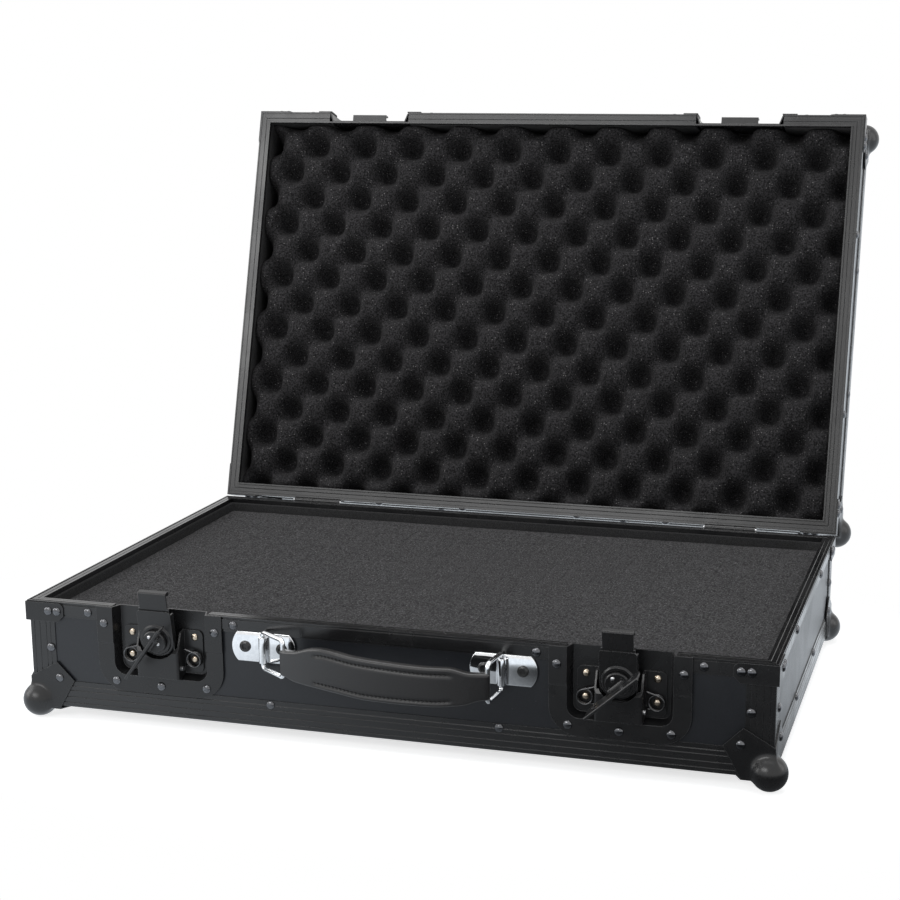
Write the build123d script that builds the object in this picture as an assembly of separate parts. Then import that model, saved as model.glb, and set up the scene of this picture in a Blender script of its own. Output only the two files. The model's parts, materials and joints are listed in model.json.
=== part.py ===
from build123d import *
from math import acos, atan2, cos, degrees, hypot, radians, sin, tan
import os

# A foam lined flight case that stands open, with two butterfly latches and a handle hung on two rings.
# Millimetres. The origin is in the middle of the underside of the bottom panel: X right, Y back, Z up.
# Places on a wall are given as (along, up, out): along the wall, up from the tray's rim, out of the wall.

# Case
case_length = 630.0
case_depth = 406.0
tray_height = 92.5
lid_height = 75.0
lid_open_angle = 107.0
closing_gap = 0.4
panel_thickness = 6.5

# Edge trims
trim_thickness = 1.2
trim_leg = 23.1
trim_step_at = 18.75
trim_step = 0.45
trim_groove_places = (4.25, 9.4, 15.25)
trim_groove = 0.4
trim_round = 1.5
trim_round_cut = 0.45

# Rims
rim_leg = 13.1
rim_band_foot = 10.6
rim_proud = 1.0
rim_top = 1.3
rim_inner_leg = 4.1
rim_inner_wall = 1.15
rim_fit = 0.05
rim_lip = 1.0
rim_side_groove = 1.3
rim_top_groove_start = 0.3
rim_top_groove_end = 1.9
rim_top_groove = 0.6
rim_line_at = 5.7
rim_line = 0.35
tongue_thickness = 1.5
tongue_rise = 2.5
tongue_gap = 0.5

# Corner brackets and ball corners
bracket_leg = 33.0
bracket_top = 1.0
bracket_height = 16.3
bracket_thickness = 1.2
bracket_round = 5.0
bracket_chamfer = 5.5
ball_radius = 14.6
ball_inset = 3.8
ball_plate = 1.2
ball_plate_reach = 25.2
ball_plate_long = 39.6
ball_plate_short = 24.0

# Lining and foam
lining_gap = 0.3
lining_thickness = 2.3
lining_below_leg = 0.2
foam_gap = 0.3
pick_foam_drop = 12.2
egg_foam_drop = 5.0
egg_depth = 29.0
egg_pitch = 52.7
egg_row_pitch = 28.2
egg_turn = 1.0
egg_pit_place = (60.4, 2.7)

# Hinges
hinge_place = 215.0
hinge_width = 49.0
hinge_behind = 3.0
hinge_knuckle_radius = 2.7
hinge_knuckle_count = 5
hinge_knuckle_gap = 0.3
hinge_leaf_thickness = 1.2
hinge_leaf_height = 34.0
hinge_pin_radius = 1.4
hinge_pin_tail = 1.5
hinge_relief = 0.3
hinge_relief_height = 3.4

# Latch dishes
dish_past_plate = 8.75
dish_sheet = 1.2
dish_floor_depth = 7.8
dish_taper = 20.0
dish_flange_width = 113.0
dish_flange_depth = 72.75
dish_flange_round = 24.0
dish_opening_width = 84.0
dish_opening_depth = 58.1
dish_opening_round = 10.0
dish_step_at = 30.5
dish_fit = 0.3
dish_edge_gap = 0.2
keeper_flange_depth = 47.0
keeper_opening_depth = 34.0
keeper_step_at = 15.0

# Latch frames
frame_sheet = 1.5
frame_width = 38.2
frame_out = 7.2
frame_bend = 2.5
frame_foot = 56.5
frame_front_top = 34.1
frame_shoulder = 30.3
frame_shoulder_out = 5.6
frame_head = 17.6
frame_ear_width = 71.0
frame_ear_top = 16.5
frame_ear_foot = 53.0
frame_ear_round = 5.0
frame_cutout = 17.5
rivet_place = 28.4
rivet_upper = 22.5
rivet_radius = 3.15
rivet_dome = 1.6
dome_edge_share = 0.93
dome_edge_rise = 0.55
dome_crown_share = 0.62

# Latch springs and pivot
spring_coil_radius = 7.0
spring_wire = 1.6
spring_leg_radius = 0.64
spring_turns = 3
spring_drop = 41.0
spring_upper_leg = 32.0
spring_post_gap = 0.4
pivot_drop = 48.5
pivot_radius = 2.0
pivot_overhang = 1.4
running_gap = 0.05

# Latch cover
latch_tilt = 10.0
cover_half_width = 15.0
cover_out = 2.0
cover_sheet = 1.2
cover_back = 4.0
cover_top = 3.4
cover_round = 3.0
cover_arm_radius = 4.0
cover_boss_radius = 3.5
cover_boss_gap = 0.3
ring_outer = 13.5
ring_inner = 10.3
ring_height = 1.5
ring_bevel = 1.0

# Cam
cam_drop = 22.5
cam_radius = 10.0
cam_shaft_radius = 7.8
cam_lift = 0.3
cam_top = 7.5
cam_edge = 0.8
cam_throw = 5.0
cam_pin_radius = 2.5
cam_pin_head = 4.8
cam_pin_head_thickness = 1.2
cam_pin_lead = 42.25
cam_ear_start = 6.0
cam_ear_thickness = 1.5
cam_ear_radius = 2.1
cam_rivet_place = 4.5
cam_rivet_radius = 1.7
cam_rivet_crown = 1.1
cam_rivet_height = 0.8
wing_line_left = 52.75
wing_line_right = 42.75

# Hook
hook_thickness = 1.5
hook_gap = 0.1
hook_side_gap = 0.3
hook_head_width = 24.6
hook_neck = 5.0
hook_top = 19.4
hook_lip_back = 5.5
hook_lip_drop = 4.0
hook_bend = 1.0
hook_foot = 28.6
hook_slot_side = 0.6
hook_slot_rise = 1.6

# Wing
wing_axis_out = 9.8
wing_pin_radius = 1.0
wing_knuckle_radius = 2.0
wing_knuckle_gap = 0.3
wing_sheet = 1.3
wing_waist = 5.2
wing_waist_top = 3.0
wing_length = 57.0
wing_height = 20.2
wing_lobe_foot = 4.4
wing_hem_radius = 1.2
wing_hole_radius = 3.0
wing_hole_place = 20.0
wing_hole_up = 11.5

# Keeper
keeper_width = 36.6
keeper_sheet = 1.5
keeper_shelf_up = 2.3
keeper_shelf_out = 1.2
keeper_lip_rise = 2.5
keeper_foot_height = 23.0
keeper_end_rise = 2.2
keeper_end_width = 3.6

# Handle
barrel_past_grip = 13.4
plate_past_barrel = 0.8
handle_drop = 23.6
handle_plate_length = 55.5
handle_plate_height = 25.2
handle_plate_thickness = 1.6
handle_plate_corner = 6.0
handle_barrel_out = 4.2
handle_barrel_wall = 1.5
handle_barrel_height = 21.6
ring_wire_radius = 2.0
ring_bore_gap = 0.1
ring_height_between = 31.0
ring_reach = 30.0
ring_bend = 3.5
ring_drop = 24.75
ring_left_angle = 55.0
screw_place = 16.0
screw_radius = 4.9
screw_height = 1.9
screw_recess = 2.4
screw_recess_depth = 1.2

# Grip
grip_span = 174.6
grip_bow = 16.5
grip_thickness = 9.0
grip_middle_height = 32.0
grip_middle_drop = 29.4
grip_loop_height = 20.4
grip_loop_drop = 25.6
grip_loop_length = 7.0
grip_shoulder = 18.0
grip_pin_gap = 0.3
grip_slack = 3.8

# Derived places
half_length = case_length / 2
half_depth = case_depth / 2
tray_rim = tray_height - trim_thickness
lid_rim = lid_height - trim_thickness
panel_back = trim_thickness + panel_thickness
rim_leg_inside = panel_back + rim_fit
rim_inside = rim_leg_inside + rim_inner_wall
tongue_outside = rim_inside + tongue_gap
tongue_inside = tongue_outside + tongue_thickness
lining_outside = panel_back + lining_gap
lining_inside = lining_outside + lining_thickness
foam_outside = lining_inside + foam_gap
lid_top_level = tray_rim + closing_gap + lid_rim
hinge_axis_y = half_depth + hinge_behind
hinge_axis_z = tray_rim + closing_gap / 2
dish_wall = dish_sheet / cos(radians(dish_taper))
dish_notch_half = dish_opening_width / 2 + dish_wall + dish_fit
dish_notch_drop = dish_opening_depth + dish_wall + dish_fit
keeper_notch_rise = keeper_opening_depth + dish_wall + dish_fit
dish_floor = -dish_floor_depth
frame_inner_half = frame_width / 2 - frame_sheet
ear_face = dish_floor + frame_sheet
cover_inside = cover_out - cover_sheet
hook_front = cover_inside - hook_gap
hook_back = hook_front - hook_thickness
hook_half_width = cover_half_width - cover_sheet - hook_side_gap
cam_base = cover_out + cam_lift
barrel_y = -(half_depth + handle_barrel_out)
ring_level = tray_rim - ring_drop
handle_level = tray_rim - handle_drop
handle_barrel_place = grip_span / 2 + barrel_past_grip
handle_plate_place = handle_barrel_place + plate_past_barrel
handle_plate_end = handle_plate_place + handle_plate_length / 2
latch_place = handle_plate_end + dish_past_plate + dish_flange_width / 2


# Shapes

def block(x_limits, y_limits, z_limits):
    """A box between its limits on the three axes."""
    size = [high - low for low, high in (x_limits, y_limits, z_limits)]
    middle = [(high + low) / 2 for low, high in (x_limits, y_limits, z_limits)]
    return Pos(*middle) * Box(*size)


def sheet(outline, start, end):
    """A flat outline made solid between two levels along Z."""
    return extrude(Pos(0, 0, start) * outline, amount=end - start)


def across(profile, half_width):
    """A side profile of (Y, Z) points, made solid to both sides along X."""
    return extrude(Plane.YZ * Polygon(*profile, align=None), amount=half_width, both=True)


def upward(outline, bottom, top):
    """An outline of (X, Z) points, made solid along Y between two places."""
    start = Plane(origin=(0, top, 0), x_dir=(1, 0, 0), z_dir=(0, -1, 0))
    return extrude(start * outline, amount=top - bottom)


def bar(start, end, radius):
    """A round bar between two points."""
    run = Vector(*end) - Vector(*start)
    return extrude(Plane(origin=start, z_dir=run) * Circle(radius), amount=run.length)


def both_sides(shape):
    """A shape and its mirror image in X."""
    return [shape, mirror(shape, about=Plane.YZ)]


def four_corners(shape):
    """A shape from the front right corner, repeated at the four corners."""
    return [copy for side in both_sides(shape) for copy in (side, mirror(side, about=Plane.XZ))]


def round_foot(outline, radius):
    """Rounds the two lowest corners of a flat outline."""
    return fillet(outline.vertices().group_by(Axis.Y)[0], radius)


def save(name, *shapes):
    """Writes one sub-part, which can be several separate solids."""
    solids = [solid for shape in shapes for solid in shape.solids()]
    export_step(Compound(solids), f"parts/{name}.step")


# Where the latches, the lid and the tilted covers stand

def on_front(x_place):
    """The front wall at the rim: X along the wall, Y up from the rim, Z out of the wall."""
    return Plane(origin=(x_place, -half_depth, tray_rim), x_dir=(1, 0, 0), z_dir=(0, -1, 0)).location


def about_x(y_place, z_place, angle):
    """A turn about an axis along X."""
    return Pos(0, y_place, z_place) * Rot(angle, 0, 0) * Pos(0, -y_place, -z_place)


lid_opened = about_x(hinge_axis_y, hinge_axis_z, -lid_open_angle)
cover_tilted = about_x(-pivot_drop, 0, latch_tilt)


def as_lid(shape):
    """Turns a tray shape over into the lid and opens the lid."""
    return lid_opened * Pos(0, 0, lid_top_level) * mirror(shape, about=Plane.XY)


# Panels

def bottom_panel():
    x_half = half_length - trim_thickness
    y_half = half_depth - trim_thickness
    return block((-x_half, x_half), (-y_half, y_half), (0, panel_thickness))


def front_panel(rim_level, notch_depth):
    """A long wall with a notch at each latch; a back wall has no notch."""
    x_half = half_length - trim_thickness
    y_limits = (-half_depth + trim_thickness, -half_depth + panel_back)
    panel = block((-x_half, x_half), y_limits, (panel_thickness, rim_level - rim_top))
    if notch_depth:
        for side in (-1, 1):
            x_limits = (side * latch_place - dish_notch_half, side * latch_place + dish_notch_half)
            panel -= block(x_limits, y_limits, (rim_level - notch_depth, rim_level))
    return panel


def side_panels(rim_level):
    x_limits = (half_length - panel_back, half_length - trim_thickness)
    y_half = half_depth - panel_back
    return both_sides(block(x_limits, (-y_half, y_half), (panel_thickness, rim_level - rim_top)))


# Edge trims and rims

def trim_outline():
    """The ridged angle, corner at the origin, its legs along minus X and minus Y."""
    leg = [(-trim_round_cut, -trim_round_cut), (0, -trim_round)]
    for place in trim_groove_places:
        leg += [(0, -place + trim_groove), (-trim_groove, -place), (0, -place - trim_groove)]
    leg += [(0, -trim_step_at), (-trim_step, -trim_step_at - trim_step), (-trim_step, -trim_leg)]
    leg += [(-trim_thickness, -trim_leg)]
    other_leg = [(y, x) for x, y in reversed(leg[1:])]
    return leg + [(-trim_thickness, -trim_thickness)] + other_leg


def rim_outline(has_tongue):
    """The rim's section as (out, up) points, the panel's edge in its channel."""
    leg = [
        (-trim_thickness, -rim_leg),
        (0, -rim_leg),
        (0, -rim_band_foot),
        (rim_proud, -rim_band_foot),
        (rim_proud, -rim_lip - rim_side_groove),
        (0, -rim_lip - rim_side_groove),
        (0, -rim_lip),
        (rim_proud, -rim_lip),
        (rim_proud, 0),
    ]
    top = [
        (-rim_top_groove_start, 0),
        (-rim_top_groove_start, -rim_top_groove),
        (-rim_top_groove_end, -rim_top_groove),
        (-rim_top_groove_end, 0),
        (-rim_line_at + rim_line, 0),
        (-rim_line_at, -rim_line),
        (-rim_line_at - rim_line, 0),
    ]
    tongue = [
        (-tongue_outside, 0),
        (-tongue_outside, tongue_rise),
        (-tongue_inside, tongue_rise),
        (-tongue_inside, -rim_top),
        (-rim_inside, -rim_top),
    ]
    channel = [
        (-rim_inside, -rim_inner_leg),
        (-rim_leg_inside, -rim_inner_leg),
        (-rim_leg_inside, -rim_top),
        (-trim_thickness, -rim_top),
    ]
    return leg + top + (tongue if has_tongue else [(-rim_inside, 0)]) + channel


def mitred_bar(section, half_run, half_across, reach):
    """A bar along the front edge from an (out, Z) section, cut at 45 degrees at both ends."""
    long_bar = across([(-half_across - out, up) for out, up in section], half_run + reach)
    plan = [(half_run + reach, -half_across - reach), (half_run - trim_leg - reach, -half_across + trim_leg + reach)]
    wedge = Polygon(*plan, *[(-x, y) for x, y in reversed(plan)], align=None)
    levels = [up for out, up in section]
    return long_bar & sheet(wedge, min(levels) - reach, max(levels) + reach)


def edge_lengths(section, reach):
    """The four mitred lengths of a frame around the case: front, back, left and right."""
    long_bar = mitred_bar(section, half_length, half_depth, reach)
    short_bar = mitred_bar(section, half_depth, half_length, reach)
    return long_bar, Rot(0, 0, 180) * long_bar, Rot(0, 0, -90) * short_bar, Rot(0, 0, 90) * short_bar


def bottom_edges():
    section = [(out, -trim_thickness - down) for out, down in trim_outline()]
    return edge_lengths(section, trim_round)


def upright_edges(rim_level):
    outline = Polygon(*[(half_length + x, -half_depth - y) for x, y in trim_outline()], align=None)
    return four_corners(sheet(outline, trim_leg - trim_thickness, rim_level - rim_leg))


def rims(rim_level, has_tongue):
    """The front rim is cut away at the latches, and the back rim is relieved at the hinges."""
    section = [(out, rim_level + up) for out, up in rim_outline(has_tongue)]
    front, back, left, right = edge_lengths(section, rim_proud)
    gap_half = dish_opening_width / 2 + dish_wall + dish_edge_gap
    for side in (-1, 1):
        gap = (side * latch_place - gap_half, side * latch_place + gap_half)
        gap_back = -half_depth + dish_floor_depth + dish_sheet + dish_edge_gap
        front -= block(gap, (-half_depth - trim_leg, gap_back), (0, rim_level + rim_top))
        relief_half = hinge_width / 2 + hinge_knuckle_gap
        relief = (side * hinge_place - relief_half, side * hinge_place + relief_half)
        relief_levels = (rim_level - hinge_relief_height, rim_level + rim_top)
        back -= block(relief, (hinge_axis_y - hinge_knuckle_radius - hinge_relief, hinge_axis_y), relief_levels)
    return front, back, left, right


# Corners

def corner_plates():
    """The three pentagon plates, one on each face of the front right bottom corner."""
    reach = ball_plate_reach
    points = [
        (-ball_plate, -ball_plate),
        (reach, -ball_plate),
        (ball_plate_long, ball_plate_short),
        (ball_plate_short, ball_plate_long),
        (-ball_plate, reach),
    ]
    under = sheet(Polygon(*[(-a, b) for a, b in points], align=None), -ball_plate, 0)
    front_plane = Plane(origin=(0, 0, 0), x_dir=(-1, 0, 0), z_dir=(0, 1, 0))
    front = extrude(front_plane * Polygon(*points, align=None), amount=-ball_plate)
    side_plane = Plane(origin=(0, 0, 0), x_dir=(0, 1, 0), z_dir=(1, 0, 0))
    side = extrude(side_plane * Polygon(*points, align=None), amount=ball_plate)
    return under + front + side


def ball_corners():
    size = 2 * ball_radius
    ball = Pos(-ball_inset, ball_inset, ball_inset) * Sphere(ball_radius)
    ball -= block((-size, 0), (0, size), (0, size))
    corner = Pos(half_length, -half_depth, -trim_thickness) * (ball + corner_plates())
    return four_corners(corner)


def rim_brackets(rim_level):
    """Angle brackets over the rim at each corner, rounded above and cut off below at their ends."""
    top = rim_level - bracket_top
    foot = top - bracket_height
    outer = rim_proud + bracket_thickness

    def leg(outside):
        points = [
            (outside + outer, foot),
            (outside + outer, top),
            (outside - bracket_leg, top),
            (outside - bracket_leg, foot + bracket_chamfer),
            (outside - bracket_leg + bracket_chamfer, foot),
        ]
        outline = Polygon(*points, align=None)
        end_corner = outline.vertices().group_by(Axis.Y)[-1].sort_by(Axis.X)[0]
        return fillet(end_corner, bracket_round)

    front = upward(leg(half_length), -half_depth - outer, -half_depth - rim_proud)
    side = Rot(0, 0, 90) * upward(leg(half_depth), -half_length - outer, -half_length - rim_proud)
    side = mirror(side, about=Plane.XZ)
    return four_corners(front + side)


# Lining and foam

def wall_lining(rim_level, notch_depth):
    """A thin foam lining inside the four walls, open at the latch dishes."""
    outer = Rectangle(case_length - 2 * lining_outside, case_depth - 2 * lining_outside)
    inner = Rectangle(case_length - 2 * lining_inside, case_depth - 2 * lining_inside)
    top = rim_level - rim_inner_leg - lining_below_leg
    lining = sheet(outer - inner, panel_thickness, top)
    for side in (-1, 1):
        half = dish_notch_half + foam_gap
        x_limits = (side * latch_place - half, side * latch_place + half)
        lining -= block(x_limits, (-half_depth, -half_depth + foam_outside), (rim_level - notch_depth, rim_level))
    return lining


def foam_block(rim_level, drop):
    """Foam that fills the inside, up to a drop below the rim."""
    outline = Rectangle(case_length - 2 * foam_outside, case_depth - 2 * foam_outside)
    return sheet(outline, panel_thickness + foam_gap, rim_level - drop)


def egg_crate_block():
    """Foam with a top of two crossed zigzags added up: flat facets between its peaks, pits and saddles."""
    columns = int(case_length / egg_pitch) + 4
    rows = int(half_depth / egg_row_pitch) + 2
    top = lid_rim - egg_foam_drop

    def place(column, row):
        """Whole places are pits and peaks by turns, and the place between four of them is a saddle."""
        height = 0.5 if column % 1 else (column + row) % 2
        return Vector(column * egg_pitch / 2, row * egg_row_pitch, top - egg_depth * (1 - height))

    def facet(column, row, ahead, up):
        """The flat facet between a place and the next one ahead or up, with a saddle at each side."""
        middle = (column + ahead / 2, row + up / 2)
        sides = [(middle[0] + up / 2, middle[1] - ahead / 2), (middle[0] - up / 2, middle[1] + ahead / 2)]
        corners = [(column, row), sides[0], (column + ahead, row + up), sides[1]]
        return Face(Wire.make_polygon([place(*corner) for corner in corners]))

    facets = [facet(column, row, 1, 0) for column in range(-columns, columns) for row in range(-rows, rows + 1)]
    facets += [facet(column, row, 0, 1) for column in range(-columns, columns + 1) for row in range(-rows, rows)]
    front = [(half / 2 - columns, -rows - half % 2 / 2) for half in range(4 * columns)]
    right = [(columns + half % 2 / 2, half / 2 - rows) for half in range(4 * rows)]
    outline = front + right
    outline = [place(*corner) for corner in outline + [(-column, -row) for column, row in outline]]
    feet = [Vector(corner.X, corner.Y, 0) for corner in outline]
    for number, foot in enumerate(feet):
        wall = [outline[number - 1], outline[number], foot, feet[number - 1]]
        facets.append(Face(Wire.make_polygon(wall)))
    facets.append(Face(Wire.make_polygon(feet)))
    relief = Pos(*egg_pit_place) * Rot(0, 0, egg_turn) * Solid(Shell(facets))
    return foam_block(lid_rim, egg_foam_drop) & relief


# Hinges

def knuckle_spans(first):
    """The places along one hinge of every second knuckle, from the first or the second one."""
    pitch = (hinge_width + hinge_knuckle_gap) / hinge_knuckle_count
    starts = [-hinge_width / 2 + number * pitch for number in range(first, hinge_knuckle_count, 2)]
    return [(start, start + pitch - hinge_knuckle_gap) for start in starts]


def hinge_leaf(first, side_up):
    """A leaf on the hinge axis: rolled knuckles, then a plate over the rim that steps in to the panel."""
    sign = 1 if side_up else -1
    inner = -hinge_behind + rim_proud
    outer = inner + hinge_leaf_thickness
    inset = rim_proud + trim_thickness
    foot = rim_leg - closing_gap / 2
    clear = hinge_knuckle_radius + hinge_relief
    plate_points = [
        (inner, clear),
        (outer, clear),
        (outer, foot),
        (outer - inset, foot + inset),
        (outer - inset, hinge_leaf_height),
        (inner - inset, hinge_leaf_height),
        (inner - inset, foot + inset),
        (inner, foot + hinge_relief),
    ]
    leaf = across([(y, sign * z) for y, z in plate_points], hinge_width / 2)
    for start, end in knuckle_spans(first):
        knuckle = across([(inner, 0), (outer, 0), (outer, sign * clear), (inner, sign * clear)], (end - start) / 2)
        knuckle += Rot(0, 90, 0) * Cylinder(hinge_knuckle_radius, end - start)
        leaf += Pos((start + end) / 2, 0, 0) * knuckle
    leaf -= Rot(0, 90, 0) * Cylinder(hinge_pin_radius + running_gap, 2 * hinge_width)
    return [Pos(side * hinge_place, hinge_axis_y, hinge_axis_z) * leaf for side in (-1, 1)]


def hinge_pins():
    pin = Rot(0, 90, 0) * Cylinder(hinge_pin_radius, hinge_width + 2 * hinge_pin_tail)
    return [Pos(side * hinge_place, hinge_axis_y, hinge_axis_z) * pin for side in (-1, 1)]


# Latch dishes

def dish_pocket(opening_depth, front, floor, grow):
    """The tapered hollow of a dish, open upward past the rim."""
    narrowing = (front - floor) * tan(radians(dish_taper))

    def outline(less):
        width = dish_opening_width + 2 * (grow - less)
        foot = opening_depth + grow - less
        rectangle = Pos(0, (dish_opening_round - foot) / 2) * Rectangle(width, foot + dish_opening_round)
        return round_foot(rectangle, dish_opening_round + grow - less)

    return loft([Pos(0, 0, front) * outline(0), Pos(0, 0, floor) * outline(narrowing)])


def latch_dish(flange_depth, opening_depth, step_at, seat):
    """A pressed dish under the rim: its flange steps out over the rim's leg."""
    step = dish_sheet
    strip = [
        (-flange_depth, seat),
        (-step_at - step, seat),
        (-step_at, rim_proud),
        (-dish_edge_gap, rim_proud),
        (-dish_edge_gap, rim_proud + dish_sheet),
        (-step_at - step / 2, rim_proud + dish_sheet),
        (-step_at - 3 * step / 2, seat + dish_sheet),
        (-flange_depth, seat + dish_sheet),
    ]
    outline = Pos(0, -flange_depth / 2) * Rectangle(dish_flange_width, flange_depth)
    outline = round_foot(outline, dish_flange_round)
    dish = across(strip, dish_flange_width) & sheet(outline, dish_floor, frame_out)
    front = seat + dish_sheet
    dish += dish_pocket(opening_depth, front, dish_floor - dish_sheet, dish_wall)
    dish -= dish_pocket(opening_depth, front, dish_floor, 0)
    opening = Pos(0, (dish_opening_round - opening_depth) / 2)
    opening *= Rectangle(dish_opening_width, opening_depth + dish_opening_round)
    dish -= sheet(round_foot(opening, dish_opening_round), front, frame_out)
    over = dish_flange_width
    return dish - block((-over, over), (-dish_edge_gap, over), (-over, over))


# Latch frame, springs and rivets

def latch_frame():
    """A folded frame on the dish floor: ears, two sloping cheeks and a front plate cut round the cam."""
    profile = [
        (-frame_foot, 0),
        (-frame_ear_foot, dish_floor),
        (-frame_ear_top, dish_floor),
        (-frame_head, 0),
        (-frame_shoulder, frame_shoulder_out),
        (-frame_front_top, frame_out),
        (-frame_foot, frame_out),
    ]
    depth = 2 * (frame_out - dish_floor)
    middle = frame_out - depth / 2
    outer = Pos(0, middle) * RectangleRounded(frame_width, depth, frame_bend)
    inner_depth = depth - 2 * frame_sheet
    inner = Pos(0, middle) * RectangleRounded(2 * frame_inner_half, inner_depth, frame_bend - frame_sheet)
    folded = upward(outer - inner, -frame_foot, -frame_ear_top) & across(profile, frame_width)
    ear_height = frame_ear_foot - frame_ear_top
    ear_middle = Pos(0, -(frame_ear_foot + frame_ear_top) / 2)
    ears = ear_middle * RectangleRounded(frame_ear_width, ear_height, frame_ear_round)
    ears -= ear_middle * Rectangle(2 * frame_inner_half, 2 * ear_height)
    frame = folded + sheet(ears, dish_floor, ear_face)
    frame -= Pos(0, -cam_drop, frame_out) * Cylinder(frame_cutout, 4 * frame_sheet)
    return frame - Pos(0, -pivot_drop, 0) * Rot(0, 90, 0) * Cylinder(pivot_radius + running_gap, 2 * frame_width)


def spring_coil():
    """A torsion spring round its rivet, with a ridge for each turn and two legs to the frame's cheek."""
    wire = spring_wire / 2
    mean = spring_coil_radius - wire
    levels = [ear_face + wire + number * spring_wire for number in range(spring_turns)]
    ridges = [(spring_coil_radius - wire / 2, ear_face)]
    for level in levels:
        ridges += [(spring_coil_radius, level), (spring_coil_radius - wire / 2, level + wire)]
    bore = [(mean - wire, levels[-1] + wire), (mean - wire, ear_face)]
    coil = revolve(Plane.XZ * Polygon(*ridges, *bore, align=None), Axis.Z)
    coil = Pos(rivet_place, -spring_drop, 0) * coil
    wall = frame_width / 2 + wire
    along = wall - rivet_place
    rise = spring_drop - spring_upper_leg
    tangent = atan2(rise, along) - acos(mean / hypot(along, rise))
    leaves = (rivet_place + mean * cos(tangent), -spring_drop + mean * sin(tangent), levels[-1])
    coil += bar(leaves, (wall, -spring_upper_leg, levels[-1]), spring_leg_radius)
    lower_end = (wall, -spring_drop - mean, levels[0])
    coil += bar((rivet_place, -spring_drop - mean, levels[0]), lower_end, spring_leg_radius)
    return coil


def dome_head(radius, height):
    """A low domed head that stands on the level Z = 0."""
    edge = (radius * dome_edge_share, height * dome_edge_rise)
    crown = (radius * dome_crown_share, height)
    section = Polygon((0, 0), (radius, 0), edge, crown, (0, height), align=None)
    return revolve(Plane.XZ * section, Axis.Z)


def frame_rivets():
    """Two rivets through each ear; the lower one is the post of the spring."""
    post_top = ear_face + spring_turns * spring_wire + spring_post_gap
    upper = Pos(rivet_place, -rivet_upper, ear_face) * dome_head(rivet_radius, rivet_dome)
    lower = Pos(rivet_place, -spring_drop, post_top) * dome_head(rivet_radius, rivet_dome)
    lower += Pos(rivet_place, -spring_drop, 0) * sheet(Circle(rivet_radius), ear_face, post_top)
    return both_sides(upper) + both_sides(lower)


def pivot_pin():
    return Pos(0, -pivot_drop, 0) * Rot(0, 90, 0) * Cylinder(pivot_radius, frame_width + 2 * pivot_overhang)


# Moving latch parts

def latch_cover():
    """A cover folded back along its sides, with a raised ring round the cam and two arms on the pivot."""
    plate = Pos(0, (cover_top - cam_drop) / 2) * Rectangle(2 * cover_half_width, cover_top + cam_drop)
    plate = fillet(plate.vertices().group_by(Axis.Y)[-1], cover_round)
    plate += Pos(0, -cam_drop) * Circle(cover_half_width)
    cover = sheet(plate, cover_inside, cover_out)
    cheek = [
        (cover_top - cover_round, cover_inside),
        (cover_top - cover_round, -cover_back),
        (-pivot_drop, -cover_back),
        (-pivot_drop, cover_arm_radius),
        (-cam_drop - cover_half_width, cover_inside),
    ]
    inner = cover_half_width - cover_sheet
    pivot = Pos(0, -pivot_drop, 0) * Rot(0, 90, 0)
    cheeks = across(cheek, cover_half_width) + pivot * Cylinder(cover_arm_radius, 2 * cover_half_width)
    boss_length = 2 * (frame_inner_half - cover_boss_gap)
    cheeks += pivot * Cylinder(cover_boss_radius, boss_length)
    cheeks -= block((-inner, inner), (-2 * pivot_drop, pivot_drop), (-frame_out, frame_out))
    ring = Pos(0, -cam_drop, cover_out + ring_height / 2)
    raised = ring * (Cone(ring_outer, ring_outer - ring_bevel, ring_height) - Cylinder(ring_inner, ring_height))
    cover += cheeks + raised
    cover -= Pos(0, -cam_drop, cover_out) * Cylinder(cam_shaft_radius + running_gap, 2 * cover_out)
    return cover - pivot * Cylinder(pivot_radius + running_gap, boss_length)


def latch_hook():
    """A flat hook with a cross slot for the cam pin and a lip folded back over its top."""
    profile = [
        (-hook_foot, hook_front),
        (hook_top - hook_bend, hook_front),
        (hook_top, hook_front - hook_bend),
        (hook_top, -hook_lip_back + hook_bend),
        (hook_top - hook_bend, -hook_lip_back),
        (hook_top - hook_lip_drop, -hook_lip_back),
        (hook_top - hook_lip_drop, -hook_lip_back + hook_thickness),
        (hook_top - hook_thickness, -hook_lip_back + hook_thickness),
        (hook_top - hook_thickness, hook_back),
        (-hook_foot, hook_back),
    ]
    hook = across(profile, hook_half_width)
    for side in (-1, 1):
        x_limits = sorted((side * hook_head_width / 2, side * cover_half_width))
        hook -= block(x_limits, (hook_neck, 2 * hook_top), (-frame_out, frame_out))
    slot_half = cam_throw + cam_pin_radius + hook_slot_side
    slot_rise = cam_pin_radius + hook_slot_rise
    slot = Pos(0, cam_throw - cam_drop) * RectangleRounded(2 * slot_half, 2 * slot_rise, cam_pin_radius)
    return hook - sheet(slot, -frame_out, frame_out)


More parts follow.
